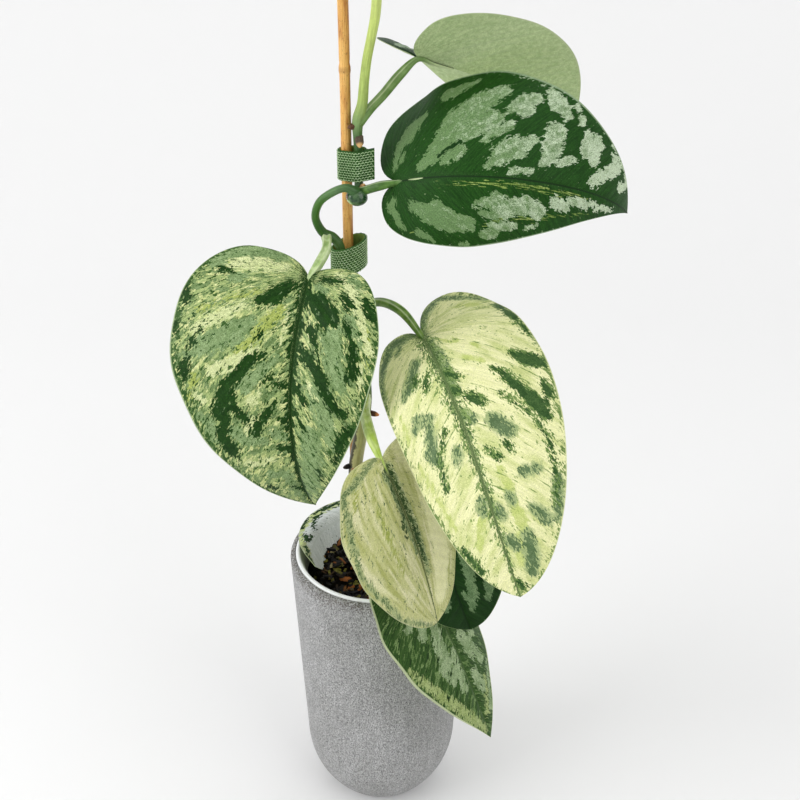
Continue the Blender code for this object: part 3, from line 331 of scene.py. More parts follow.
# Markings on each blade, read as brush strokes and grouped by half and kind. A stroke runs
# through places: where its vein leaves the midrib, in hundredths of the midrib (less than 0 counts
# back round the lobe), how far along the vein it is, in hundredths, and the stroke's radius in
# millimetres
STROKES = {
    "leaf_upper_front": {
        "L silver": (
            ((7, 10, 2.2), (9, 28, 6.5), (6, 48, 9), (5, 69, 6), (8, 82, 2.8)),
            ((15.5, 13, 2.2), (17, 24, 3.2)), ((12, 40, 4.5), (17, 55, 4.5)),
            ((21.5, 35, 1.5), (22, 43, 3), (25, 53, 2)), ((19, 68, 3.5), (20, 76, 5), (22, 84, 2.5)),
            ((23.5, 66, 2.5), (25, 70, 2)), ((23, 94, 2.6), (30, 87, 5.2), (37, 82, 3)),
            ((31.5, 10, 1.5), (32, 24, 5), (34, 34, 5.5), (37.5, 46, 2)), ((40, 8, 1.5), (45, 12, 1.8)),
            ((40.5, 62, 5), (45, 45, 4.8), (47.5, 26, 2.8)), ((52, 30, 2.2), (55.5, 42, 1.6)),
            ((51, 78, 2.6), (57, 66, 5.8), (62, 57, 3.2)), ((55, 84, 2.6), (60, 80, 2)),
            ((68, 88, 2), (73, 84, 3), (71, 55, 3), (69, 22, 2.6)), ((82, 60, 2.4), (84, 85, 1.6)),
            ((36, 96, 1.4), (38, 93, 1.6)), ((43, 88, 2.2), (45, 84, 1.8)),
            ((-55, 15, 1.2), (-48, 36, 2.8), (-38, 52, 4), (-28, 60, 1.8)), ((-33, 38, 2), (-28, 48, 1.5)),
            ((-35, 20, 1.8), (-33, 24, 1.5)), ((-22, 77, 3.8), (-16, 84, 2.8), (-10, 90, 0.8)),
            ((0, 98.5, 0.6), (20, 99, 0.8)), ((62, 98, 0.8), (85, 97, 1)),
        ),
        "L dark": (
            ((11, 19, 0.9), (13.5, 31, 1.3)),
        ),
        "R silver": (
            ((-12, 35, 2.6), (0, 45, 5), (4, 57, 6), (12, 66, 4)), ((7, 36, 3), (6, 50, 5)),
            ((-55, 30, 1.2), (-62, 50, 2.8), (-50, 78, 1.6)), ((-35, 80, 2.4), (-28, 90, 2.2)),
            ((-5, 95, 1.8), (0, 95, 1.4)),
            ((22, 40, 1.8), (31.5, 38, 4.2), (31, 52, 5.2), (41, 46, 4.6), (45, 62, 3.8)),
            ((22, 55, 2), (29, 58, 3)), ((14, 82, 3.2), (18, 84, 3)), ((20, 74, 2.4), (30, 78, 2.2)),
            ((35, 86, 1.4), (40, 84, 1.2)), ((54, 42, 2.8), (57.5, 58, 2.4)), ((62, 35, 2.2), (69, 50, 2)),
            ((71, 40, 1.6), (73, 45, 1.4)), ((74, 60, 1.4), (83, 60, 1.2)),
        ),
        "R lime": (
            ((15, 10, 1.4), (45, 14, 2.4), (70, 25, 1.6)), ((18, 68, 2.6), (45, 72, 2.2), (70, 75, 1)),
            ((-60, 75, 1.4), (-40, 80, 1.4)),
        ),
    },
    "leaf_left": {
        "R dark": (
            ((-2, 34, 2), (1, 24, 4.2), (0, 13, 2.8)),
            ((20, 29, 1.4), (18.5, 42, 2.8), (20, 53, 2.5), (20, 64, 3), (26, 76, 4.2)),
            ((26, 76, 4.2), (31, 74, 3), (35, 84, 3), (42, 83, 3.8), (46, 84, 2)),
            ((24, 60, 1.4), (29, 64, 2), (37, 55, 2.6)), ((45, 50, 2.3), (42, 33, 2), (40, 20, 1.4)),
            ((0, 92, 3), (-3, 88, 1.8)), ((-7, 86, 1.4), (-10, 76, 1.2)), ((-35, 96, 1.8), (-30, 92, 2.2)),
            ((-22, 97, 1.4), (-18, 97, 1.4)), ((-42, 75, 1.4), (-38, 62, 1)), ((30, 30, 1), (30, 22, 1.6)),
            ((34, 18, 1), (36, 8, 1.6)), ((47, 16, 1.2), (49, 6, 2.2)), ((59, 22, 1.4), (61, 10, 2.6)),
            ((80, 30, 1), (83, 10, 1.8)), ((70, 85, 1.4), (74, 80, 1.2)), ((11, 30, 0.8), (12, 34, 1.2)),
        ),
        "R lime": (
            ((8, 18, 4), (12, 40, 3.6), (13, 62, 2)), ((-22, 84, 1.8), (-16, 50, 2.2), (-10, 28, 1.6)),
            ((5, 84, 3), (10, 95, 2.6)), ((-52, 80, 1.2), (-40, 66, 1.4)),
        ),
        "R cream": (
            ((-45, 68, 3.4), (-46, 45, 4), (-50, 22, 2.4)),
            ((-14, 85, 2.4), (-10, 62, 3.4), (-6, 44, 2.4)), ((10, 72, 3.6), (15, 52, 3.8), (16, 34, 2)),
            ((13, 88, 2.6), (17, 84, 2.6)), ((33, 46, 2.6), (33, 36, 2)), ((42, 58, 2.4), (40, 46, 2.6)),
            ((52, 84, 2.4), (56, 70, 2.6), (60, 45, 2.4)), ((10, 10, 1.6), (22, 12, 1.6)),
        ),
        "R grey": (
            ((-2, 74, 5), (4, 52, 5.5), (5, 40, 3)), ((-4, 88, 2.6), (-2, 82, 2.6)),
            ((26, 48, 4), (25, 30, 3), (24, 18, 2)), ((20, 92, 3), (28, 88, 3.6), (32, 93, 2.6)),
            ((38, 70, 4), (45, 62, 4), (50, 45, 3)), ((52, 24, 3), (55, 12, 3)),
            ((-48, 88, 3.4), (-62, 86, 4.4), (-82, 75, 3.4)), ((-34, 60, 2.6), (-32, 48, 2)),
            ((66, 60, 3), (72, 30, 3), (85, 40, 2.4)),
        ),
        "L dark": (
            ((5, 10, 3), (4, 22, 5), (4, 36, 5.4), (2, 47, 3)),
            ((-38, 20, 1.2), (-42, 40, 1.8), (-46, 52, 1.2)), ((-25, 50, 1.6), (-24, 62, 2.6)),
            ((-36, 84, 2.2), (-30, 94, 2.4)), ((-2, 56, 1.2), (0, 66, 1.6)), ((2, 70, 2), (5, 76, 2.2)),
            ((7, 77, 2.6), (8, 82, 2)), ((12, 74, 1.6), (13, 76, 1.4)),
            ((22, 14, 2.4), (23, 36, 3), (24, 50, 3), (27, 66, 2.6), (25, 84, 1.8)),
            ((13, 22, 2.4), (17, 36, 1.4)), ((36, 10, 1.8), (38, 30, 1.4)), ((45, 10, 1.6), (48, 30, 1)),
            ((30, 92, 2.4), (36, 90, 2.2), (46, 92, 1.4)), ((60, 75, 1), (66, 80, 1.2)),
        ),
        "L grey": (
            ((8, 46, 5), (14, 58, 5), (18, 70, 3.6)), ((30, 40, 5), (34, 62, 5), (42, 78, 3)),
            ((48, 45, 6), (60, 55, 6), (78, 50, 4)), ((-10, 62, 3.4), (-6, 78, 2.6)),
            ((-55, 75, 3), (-45, 70, 3)), ((-8, 16, 2), (-6, 26, 2.4)),
        ),
        "L cream": (
            ((-60, 50, 1.8), (-40, 66, 2.6), (-16, 78, 2.8), (-6, 92, 2.2)), ((3, 86, 1.6), (8, 92, 1.4)),
            ((12, 16, 1.2), (16, 24, 1.6)), ((30, 30, 1.2), (32, 44, 1.2)),
        ),
        "L lime": (
            ((-22, 84, 1.2), (2, 93, 1.6)),
        ),
    },
    "leaf_right": {
        "L dark": (
            ((2, 73, 2), (1, 83, 4.2), (0, 95, 1.6)),
            ((16, 60, 1.8), (20, 73, 2.8), (21, 82, 4), (24, 86, 2)), ((9, 91, 1.6), (13, 92, 2)),
            ((14, 50, 1), (15, 60, 1.4)), ((21, 5, 1.8), (22, 14, 1)), ((28, 5, 1.8), (29, 13, 1)),
            ((30, 20, 2), (31, 28, 1.6)), ((49, 20, 0.8), (50, 32, 0.9)), ((44, 42, 0.9), (45, 46, 0.9)),
            ((94, 30, 1), (95, 60, 1)),
            ((24, 50, 0.3), (27, 74, 0.5), (32, 85, 0.5), (42, 90, 0.4), (55, 92, 0.5)),
            ((-42, 95, 1.4), (-28, 95, 1.8), (-18, 96, 0.8)),
        ),
        "L grey": (
            ((37, 36, 3.6), (38, 48, 3.4), (38, 52, 2)), ((38, 6, 2), (39, 14, 2)),
            ((3, 4, 1.4), (16, 6, 1.8), (30, 6, 1.6)), ((51, 58, 1.8), (47, 72, 2)),
            ((46, 92, 1.8), (55, 94, 2.2), (60, 94, 1.6)), ((63, 34, 1.8), (64, 38, 1.6)),
            ((70, 8, 2.4), (71, 16, 2)), ((62, 65, 1.4), (63, 84, 2.2)), ((79, 20, 2.4), (80, 34, 2.4)),
            ((74, 58, 2.6), (80, 66, 3.2), (86, 74, 2.4)),
            ((-92, 50, 1.6), (-85, 85, 2.6), (-72, 95, 1.6), (-50, 97, 1.2)),
        ),
        "L lime": (
            ((-52, 62, 2.2), (-46, 80, 2.4), (-42, 70, 1.2)), ((3, 12, 1.8), (4, 26, 1.8)),
            ((4, 40, 1.4), (4, 46, 1.2)), ((12, 28, 1.2), (12, 42, 1.2)),
            ((55, 30, 2.2), (70, 50, 3), (85, 45, 2.4)),
        ),
        "R grey": (
            ((6, 26, 2.2), (9, 48, 3), (8, 62, 1.8)), ((20, 58, 1.6), (22, 66, 1.8)),
            ((27, 40, 1.6), (28, 46, 1.8), (36, 58, 3.4), (39, 57, 2.2)), ((24, 48, 1.2), (25, 54, 1.2)),
            ((46, 22, 1.8), (48, 28, 1.8)), ((66, 12, 2.4), (68, 20, 2)),
            ((-85, 60, 2.6), (-62, 72, 3.4), (-46, 84, 2.6), (-30, 94, 1.4), (-15, 96, 1.2)),
            ((-50, 46, 1.4), (-40, 50, 1.2)),
        ),
        "R dark": (
            ((10, 36, 0.8), (12, 40, 1)), ((15, 20, 1), (19, 30, 0.9)),
            ((36, 28, 0.4), (41, 52, 0.7), (50, 62, 0.5)), ((68, 90, 1.2), (80, 90, 1.2)),
        ),
        "R lime": (
            ((8, 80, 1.2), (20, 84, 1.4)), ((70, 28, 2), (74, 60, 1.8)), ((30, 85, 1.2), (60, 80, 1.4)),
        ),
    },
    "leaf_top_back": {
        "L silver": (
            ((-50, 45, 2), (-30, 55, 4), (-10, 60, 3)), ((10, 30, 2.6), (20, 45, 4)),
            ((35, 35, 3), (42, 55, 3.4)), ((60, 40, 2.6), (66, 55, 2.6)), ((-5, 24, 1.2), (2, 34, 1.8)),
            ((26, 76, 1.6), (30, 86, 1.8)), ((50, 22, 1.4), (54, 28, 1.6)), ((2, 82, 1.8), (6, 90, 1.4)),
            ((78, 30, 1.6), (84, 50, 1.8)),
        ),
        "R silver": (
            ((5, 35, 2.6), (12, 55, 4.4)), ((30, 30, 3), (40, 50, 4)), ((55, 35, 2.6), (62, 55, 3.2)),
            ((-50, 45, 2), (-30, 55, 3.4)), ((20, 18, 1.2), (24, 24, 1.4)), ((22, 80, 1.8), (26, 88, 1.4)),
            ((44, 78, 1.6), (48, 86, 1.8)), ((74, 24, 1.4), (80, 48, 2)), ((-12, 72, 1.8), (-6, 86, 2)),
        ),
    },
    "leaf_lower_front": {
        "L dark": (
            ((3, 3, 0.7), (20, 4, 0.8), (42, 6, 1), (58, 7, 0.5)),
        ),
        "L grey": (
            ((2, 5, 1.2), (25, 8, 1.4), (50, 10, 1.2), (66, 10, 0.7)), ((22, 36, 0.6), (26, 42, 0.8)),
            ((50, 40, 0.7), (53, 46, 0.6)), ((-60, 90, 0.7), (-20, 96, 0.6)),
        ),
        # Painted light: a broad pale stroke over the left half, which lightens that half where it lies in
        # shade.
        "L cream": (
            ((-60, 50, 4), (0, 55, 6), (40, 55, 6), (80, 50, 4)),
        ),
        "R dark": (
            ((2, 4, 0.8), (16, 6, 1), (28, 8, 0.6)), ((28, 16, 0.5), (32, 18, 0.9), (36, 17, 0.5)),
        ),
        "R grey": (
            ((4, 8, 1.6), (30, 8, 1.6), (50, 6, 1.2)),
            ((-90, 80, 1.2), (-50, 94, 1.6), (0, 97, 1.2), (50, 98, 1), (90, 95, 0.6)),
        ),
        "R lime": (
            ((-10, 40, 1.2), (20, 48, 1.6), (42, 52, 1)), ((-60, 70, 1.2), (-30, 75, 1.4)),
        ),
    },
    "leaf_lower_dark": {
        "L silver": (
            ((26, 34, 2), (38, 42, 2.8), (50, 46, 2.2), (64, 48, 2.6), (76, 46, 1.4)),
            ((34, 72, 1.8), (46, 80, 2.4), (56, 82, 1.4)), ((64, 24, 1), (68, 32, 1.8)),
            ((10, 55, 2), (18, 65, 1.6)), ((-40, 50, 1.6), (-25, 60, 2.2)),
        ),
        "R silver": (
            ((15, 35, 2), (25, 50, 2.6)), ((42, 45, 2.4), (50, 65, 2)), ((65, 40, 1.8), (70, 55, 1.4)),
        ),
    },
    "leaf_hanging": {
        "R silver": (
            ((10, 30, 1.4), (16, 50, 1.8)), ((22, 20, 1.8), (30, 36, 3.2), (42, 44, 4.4), (50, 46, 3)),
            ((44, 14, 1.6), (52, 26, 2.6), (62, 34, 2)), ((2, 40, 1.4), (4, 62, 1.6)),
        ),
        "R cream": (
            ((10, 94, 0.8), (30, 88, 1.8), (60, 84, 2.6), (92, 60, 1.6)),
        ),
        "L silver": (
            ((16, 24, 1.8), (26, 42, 3.2), (34, 60, 2.4)), ((38, 24, 2.6), (46, 44, 3.8), (50, 66, 2.2)),
            ((60, 30, 2.4), (68, 48, 2.6)), ((50, 90, 1), (80, 86, 1.4)), ((2, 40, 1.6), (6, 60, 2)),
        ),
        "L cream": (
            ((62, 70, 1.2), (84, 50, 1.6)),
        ),
    },
    "leaf_in_pot": {
        "R cream": (
            ((2, 80, 1.6), (30, 84, 2.2), (50, 86, 1.2), (70, 94, 0.8)),
        ),
        "R lime": (
            ((66, 80, 1.4), (80, 72, 2), (94, 60, 1.4)),
        ),
        "R dark": (
            ((4, 86, 1.2), (16, 80, 1.8), (26, 90, 1.2)), ((34, 92, 1.2), (46, 95, 1)),
            ((30, 62, 0.9), (38, 66, 1.2)), ((42, 56, 0.8), (48, 44, 1.1)), ((50, 38, 0.5), (52, 34, 0.7)),
            ((60, 66, 1.1), (66, 58, 1.2)), ((62, 30, 0.5), (64, 26, 0.7)), ((76, 66, 0.6), (80, 60, 0.8)),
            ((84, 90, 0.8), (96, 70, 0.8)),
        ),
    },
}


@dataclass
class Layer:
    """One colour of a blade's markings, which lies where its value is above 0.

    The value is the source times the gain, plus the bias. The source is a kind of stroke, a distance
    from the midrib or from the nearest side vein, the share of the way to the margin, or "all" for a
    marking scattered over the whole blade. Cells move the value by up to half of jag, and streaks by
    up to half of streak. Their sizes across the veins and along them, in millimetres, are cell and
    run. Lengthwise streaks run from the stalk to the tip. The edge fades over soft on both sides, and
    lit brings in the other colour towards the tip, as a painted sheen.
    """

    source: str
    colour: tuple
    other: tuple
    bias: float = 0.0
    jag: float = 1.5
    cell: tuple = (1.0, 1.5)
    streak: float = 3.0
    run: tuple = (1.6, 3.6)
    gain: float = 1.0
    soft: float = 0.16
    painted_sheen: float = 0.0
    detail: float = 1.2
    lengthwise: bool = False


@dataclass
class Look:
    """The colours of one leaf. Ground, underside and stalk each have two, which noise mixes."""

    ground: tuple
    layers: tuple
    margin: tuple
    slot: str
    seed: float
    rib: tuple = (18, 40, 15)
    under: tuple = ((184, 201, 149), (158, 180, 127))
    stalk: tuple = ((58, 94, 34), (88, 126, 56))
    grain: float = 0.16
    margin_start: float = 0.985
    relief: float = 1.0


LOOKS = {
    "leaf_upper_front": Look(
        ground=((22, 58, 14), (34, 76, 22)),
        layers=(
            Layer("lime", (98, 126, 52), (156, 174, 100), -2.2, 2.4, (3.4, 0.6), 9, (6, 0.8)),
            # Painted sheen: lit makes the silver turn brighter towards the tip.
            Layer(
                "silver", (100, 130, 82), (182, 198, 168), 0, 1.5, (1, 1), 5, (3, 4), painted_sheen=0.5, soft=0.05,
                detail=1.6,
            ),
            Layer("edge", (134, 158, 122), (170, 186, 160), -27, 2, (0.8, 0.8), 8, gain=26),
            Layer("all", (94, 122, 76), (132, 154, 108), -2.1, 1.8, (0.8, 0.8), 7, (1.6, 2.4)),
            Layer("dark", (18, 50, 12), (26, 62, 18)),
        ),
        margin=(146, 168, 132), slot="leaf_silver", seed=1, grain=0.36, margin_start=0.978,
    ),
    "leaf_left": Look(
        ground=((138, 158, 98), (164, 180, 118)),
        layers=(
            Layer("all", (94, 119, 68), (124, 147, 98), 0, 1.2, (1.1, 1.2), 9, (3.4, 6.5), detail=2),
            Layer("all", (180, 191, 122), (206, 210, 152), -0.7, 1.4, (1, 1.2), 9, (2.8, 6), detail=2),
            Layer("grey", (106, 132, 82), (144, 166, 117), -0.3, 1.4, (1.1, 1.2), 7, (2.6, 4.5), detail=1.8),
            Layer("lime", (146, 162, 78), (170, 182, 104), -1.4, 1.8, (0.9, 1.1), 9, (1.6, 5), detail=2),
            Layer("cream", (184, 196, 136), (206, 212, 160), -0.7, 1.4, (1, 1.2), 8, (2.4, 5), detail=1.8),
            Layer("all", (40, 72, 26), (68, 100, 46), -1.25, 1.4, (0.9, 1.1), 9, (2.2, 4.4), detail=2),
            Layer("edge", (38, 72, 26), (64, 96, 44), -28.6, 2.2, (0.9, 0.9), 10, (2.2, 3), gain=30),
            Layer(
                "midrib", (19, 51, 9), (36, 70, 22), 2.3, 1.4, (0.9, 1.2), 11, (1.8, 5), gain=-0.8,
                detail=2,
            ),
            Layer("dark", (18, 50, 9), (33, 69, 19), 0.2, 2, (0.9, 1), 7, (1.8, 3.6), soft=0.1, detail=2),
            Layer("all", (92, 118, 76), (126, 148, 106), -2.1, 3, (0.8, 0.9), 5, (2.6, 4.4)),
            Layer("all", (24, 58, 16), (44, 80, 32), -1.8, 3.4, (0.8, 0.9), 4.5, (3, 5)),
        ),
        margin=(184, 200, 160), slot="leaf_mottled", seed=2, rib=(28, 56, 16),
        stalk=((138, 168, 96), (186, 204, 150)), grain=0.32,
    ),
    "leaf_right": Look(
        ground=((232, 231, 182), (218, 220, 162)),
        layers=(
            Layer("all", (188, 198, 128), (206, 211, 148), -0.5, 0.8, (1, 1.5), 9, (6, 14), soft=1.6),
            Layer("lime", (182, 196, 112), (202, 209, 138), -0.4, 1.4, (1, 0.9), 6, (3, 5), soft=1),
            Layer("veins", (110, 138, 72), (146, 166, 102), -0.2, 0.9, (1, 1.5), 6, (5, 6), gain=-2.6),
            Layer("all", (108, 136, 70), (146, 168, 98), -1.9, 3.4, (0.9, 0.7), 4, (4, 6)),
            Layer("edge", (92, 120, 62), (130, 152, 90), -29.2, 3, (0.9, 0.8), 9, (3, 3), gain=30),
            Layer("grey", (148, 165, 112), (168, 182, 130), 0.8, 1.2, (1, 0.8), 4, (3, 4), soft=1),
            Layer("grey", (80, 105, 68), (108, 130, 90), -0.6, 3.2, (1, 0.8), 5, (2.6, 3.4), soft=0.2),
            Layer("midrib", (112, 138, 76), (138, 160, 100), 1.3, 3.8, (1, 0.8), 6, (3, 4), gain=-0.5),
            Layer("midrib", (60, 88, 46), (96, 120, 72), 1.2, 3.4, (1, 0.9), 5, (2.4, 4), gain=-0.8),
            Layer("dark", (94, 124, 62), (120, 144, 84), 0.8, 3.2, (0.9, 0.8), 5, (2.6, 3.4)),
            Layer("dark", (42, 73, 33), (72, 102, 54), 0, 2, (1, 0.9), 5, (2.4, 3.4)),
        ),
        margin=(214, 218, 170), slot="leaf_cream", seed=3, rib=(96, 114, 70),
        under=((196, 200, 150), (170, 180, 122)), stalk=((74, 108, 36), (108, 138, 62)), grain=0.16,
    ),
    "leaf_top_back": Look(
        ground=((19, 50, 18), (27, 62, 25)),
        layers=(
            Layer("silver", (99, 126, 89), (158, 176, 148), 0, 1.6, (1, 1), 5, (3, 4), detail=1.6),
            Layer("all", (104, 130, 84), (140, 160, 116), -1.9, 2.4, (0.8, 0.8), 6, (1.6, 2.4)),
        ),
        margin=(180, 192, 152), slot="leaf_mottled", seed=4, stalk=((118, 148, 85), (96, 128, 64)),
        grain=0.22,
    ),
    "leaf_lower_front": Look(
        ground=((196, 197, 142), (184, 188, 126)),
        layers=(
            Layer(
                "all", (158, 164, 96), (176, 179, 112), -0.5, 0.6, (1, 1.5), 9, (2.4, 34), soft=1.2,
                lengthwise=True,
            ),
            Layer(
                "all", (210, 209, 162), (218, 216, 174), -0.7, 0.6, (1, 1.5), 9, (2.8, 30), soft=1.2,
                lengthwise=True,
            ),
            Layer("lime", (146, 158, 78), (170, 176, 98), -0.5, 2, (1, 1.5), 6, (1.6, 7), soft=0.9),
            Layer("grey", (150, 162, 112), (166, 176, 126), 0.3, 1.4, (1, 0.8), 5, (3, 5), soft=0.8),
            Layer("grey", (84, 106, 66), (120, 138, 92), -0.9, 3, (0.9, 0.8), 6, (2, 3)),
            Layer(
                "all", (98, 118, 72), (132, 146, 98), -1.9, 1.6, (1, 1.5), 9, (1.1, 13), soft=0.5,
                lengthwise=True,
            ),
            Layer("all", (78, 100, 58), (116, 132, 86), -2, 3.4, (0.9, 0.8), 5, (2, 5)),
            # Painted light: pale cream over the left half's broad stroke, which lightens the half in shade.
            Layer(
                "cream", (226, 225, 178), (214, 215, 160), 0, 1, (1, 1.5), 5, (3, 14), soft=1.6,
                lengthwise=True,
            ),
            Layer("midrib", (66, 85, 42), (106, 120, 70), 0.2, 2.4, (1, 0.8), 6, gain=-0.9),
            Layer("dark", (42, 66, 32), (74, 96, 54), 0.1, 2.6, (1.1, 0.8), 6, (2.4, 3)),
        ),
        margin=(186, 192, 146), slot="leaf_cream", seed=5, rib=(84, 98, 54),
        under=((186, 190, 138), (164, 172, 116)), stalk=((164, 190, 78), (188, 206, 122)), grain=0.18,
    ),
    "leaf_lower_dark": Look(
        ground=((12, 42, 6), (22, 56, 12)),
        layers=(
            Layer("silver", (78, 104, 66), (110, 134, 94), 0, 1.4, (1, 1), 4, (2.6, 3.4), detail=1.6),
            Layer("edge", (54, 82, 44), (80, 106, 64), -26.8, 2, (0.9, 0.9), 7, gain=26),
        ),
        margin=(132, 150, 104), slot="leaf_silver", seed=6, grain=0.3,
    ),
    "leaf_hanging": Look(
        ground=((40, 68, 26), (60, 90, 40)),
        layers=(
            Layer("all", (84, 112, 58), (116, 140, 88), -0.7, 1.4, (0.9, 1.6), 9, (1.8, 7), detail=2),
            Layer(
                "cream", (132, 150, 88), (164, 178, 122), 0.3, 2.6, (0.9, 0.9), 5, (2.4, 4.4), soft=0.4,
                detail=1.8,
            ),
            Layer(
                "silver", (112, 136, 90), (160, 177, 138), 0.6, 1.4, (1, 1.1), 6, (2, 4.4), soft=0.1,
                detail=1.8,
            ),
            Layer("all", (24, 48, 15), (40, 66, 28), -1.5, 1.4, (0.9, 1.6), 9, (1.6, 6), detail=2),
        ),
        margin=(200, 210, 168), slot="leaf_silver", seed=7, rib=(64, 88, 46), grain=0.3,
        margin_start=0.966,
    ),
    "leaf_in_pot": Look(
        ground=((206, 210, 208), (184, 190, 188)),
        layers=(
            Layer("lime", (150, 158, 112), (176, 184, 140), 0.2, 1.6, (0.9, 0.9), 6, soft=0.8),
            Layer("cream", (172, 186, 124), (196, 206, 152), 0.2, 1.6, (0.9, 0.9), 6, soft=0.5),
            Layer("dark", (16, 42, 12), (40, 72, 30), 0.2, 1.8, (1, 0.8), 6, (2, 2)),
            Layer("all", (60, 84, 48), (90, 114, 72), -2.1, 3, (0.8, 0.8), 5, (1.6, 2.4)),
        ),
        margin=(186, 198, 150), slot="leaf_mottled", seed=8, rib=(188, 194, 190),
        stalk=((120, 140, 80), (90, 110, 60)), relief=0.25,
    ),
}


# Shared helpers


def paint(colour):
    """An sRGB colour from 0 to 255 as a linear one."""
    shares = np.array(colour, float) / 255.0
    linear = np.where(shares <= 0.04045, shares / 12.92, ((shares + 0.055) / 1.055) ** 2.4)
    return (*linear.tolist(), 1.0)


def unit(vector):
    """The vector at length one."""
    vector = np.asarray(vector, float)
    return vector / np.linalg.norm(vector)


def smooth_share(value):
    """A value clipped to 0 and 1, easing in and out."""
    value = np.clip(value, 0.0, 1.0)
    return value * value * (3.0 - 2.0 * value)


class Shader:
    """A material with a Principled shader, and short calls that add its nodes.

    A socket takes another node's output, a number, a list of numbers or an sRGB colour as a tuple.
    Noise and cells lie in a vector, or in the object with a pitch in millimetres.
    """

    def __init__(self, name, roughness, specular):
        self.material = bpy.data.materials.new(name)
        self.material.use_nodes = True
        self.tree = self.material.node_tree
        self.base = self.tree.nodes["Principled BSDF"]
        self.put(self.base.inputs["Roughness"], roughness)
        self.put(self.base.inputs["Specular IOR Level"], specular)

    def put(self, socket, value):
        """Link a socket, or set it to a plain value."""
        if isinstance(value, bpy.types.NodeSocket):
            self.tree.links.new(value, socket)
        elif isinstance(value, tuple):
            socket.default_value = paint(value)[: len(socket.default_value)]
        else:
            socket.default_value = value

    def node(self, kind, values=(), **settings):
        """A new node with its settings, and values for its sockets in order or by key."""
        node = self.tree.nodes.new("ShaderNode" + kind)
        for setting, choice in settings.items():
            setattr(node, setting, choice)
        pairs = values.items() if isinstance(values, dict) else enumerate(values)
        for socket, value in pairs:
            self.put(node.inputs[socket], value)
        return node

    def calc(self, operation, first, second=0.0, third=0.0):
        """A value worked out from up to three others."""
        return self.node("Math", (first, second, third), operation=operation).outputs[0]

    plus = partialmethod(calc, "ADD")
    minus = partialmethod(calc, "SUBTRACT")
    times = partialmethod(calc, "MULTIPLY")
    over = partialmethod(calc, "DIVIDE")
    times_plus = partialmethod(calc, "MULTIPLY_ADD")
    size_of = partialmethod(calc, "ABSOLUTE")

    def value_of(self, name):
        """A single number stored on the mesh."""
        return self.node("Attribute", attribute_name=name).outputs["Fac"]

    def parts_of(self, name):
        """The three numbers of a vector stored on the mesh."""
        stored = self.node("Attribute", attribute_name=name).outputs["Vector"]
        return self.node("SeparateXYZ", (stored,)).outputs

    def join(self, x, y, z):
        """A vector from three values."""
        return self.node("CombineXYZ", (x, y, z)).outputs[0]

    def place(self, pitch):
        """The point in the object, measured in steps of a pitch; a vector is given back as it is."""
        if isinstance(pitch, bpy.types.NodeSocket):
            return pitch
        pitches = pitch if isinstance(pitch, tuple) else (pitch, pitch, pitch)
        steps = [1.0 / (MM * step) for step in pitches]
        spot = self.node("TexCoord").outputs["Object"]
        return self.node("VectorMath", (spot, steps), operation="MULTIPLY").outputs[0]

    def noise(self, at, detail=2.0, rough=0.5):
        """Smooth noise between 0 and 1."""
        values = {"Vector": self.place(at), "Scale": 1.0, "Detail": detail, "Roughness": rough}
        return self.node("TexNoise", values).outputs["Fac"]

    def fibres(self, turn, far, across, length, shift, detail, rough=0.5):
        """Noise drawn out along a stalk, from the turn round it and the length along it."""
        return self.noise(self.join(self.times(turn, across), self.over(far, length), shift), detail, rough)

    def cells(self, at, output="Distance"):
        """Voronoi cells: the distance to the middle, or a colour for each cell."""
        return self.node("TexVoronoi", {"Vector": self.place(at), "Scale": 1.0}).outputs[output]

    def cell_value(self, at):
        """One random number between 0 and 1 for each Voronoi cell."""
        return self.node("SeparateColor", (self.cells(at, "Color"),)).outputs[0]

    def rise(self, value, low, high, start=0.0, end=1.0):
        """A smooth step from start to end, while the value goes from low to high."""
        values = (value, low, high, start, end)
        return self.node("MapRange", values, interpolation_type="SMOOTHSTEP").outputs[0]

    def sway(self, value, noise, amount):
        """A value moved up and down by noise."""
        return self.times_plus(self.minus(noise, 0.5), amount, value)

    def blend(self, share, first, second):
        """A mix of two colours."""
        return self.node("Mix", {0: share, 6: first, 7: second}, data_type="RGBA").outputs[2]

    def tint(self, first, second, *rise):
        """A mix of two colours whose share is a smooth step."""
        return self.blend(self.rise(*rise), first, second)

    def shade(self, colour, *rise):
        """A colour made lighter or darker by a factor that is a smooth step."""
        values = {0: colour, "Scale": self.rise(*rise)}
        return self.node("VectorMath", values, operation="SCALE").outputs[0]

    def vary(self, colour, noise, dark, bright):
        """A colour made darker and brighter by noise."""
        return self.shade(colour, noise, 0.3, 0.7, dark, bright)

    def ramp(self, value, stops):
        """Colours along a value, as (place, colour) rows."""
        node = self.node("ValToRGB", (value,))
        row = node.color_ramp.elements
        while len(row) < len(stops):
            row.new(1.0)
        for element, (at, colour) in zip(row, stops):
            element.position = at
            element.color = paint(colour)
        return node.outputs[0]

    def finish(self, colour, height=None, depth=0.1):
        """Join the colour and the bump to the shader, with the bump's depth in millimetres."""
        self.put(self.base.inputs["Base Color"], colour)
        if height is not None:
            bump = self.node("Bump", {"Distance": depth * MM, "Height": height})
            self.put(self.base.inputs["Normal"], bump.outputs[0])
        return self.material


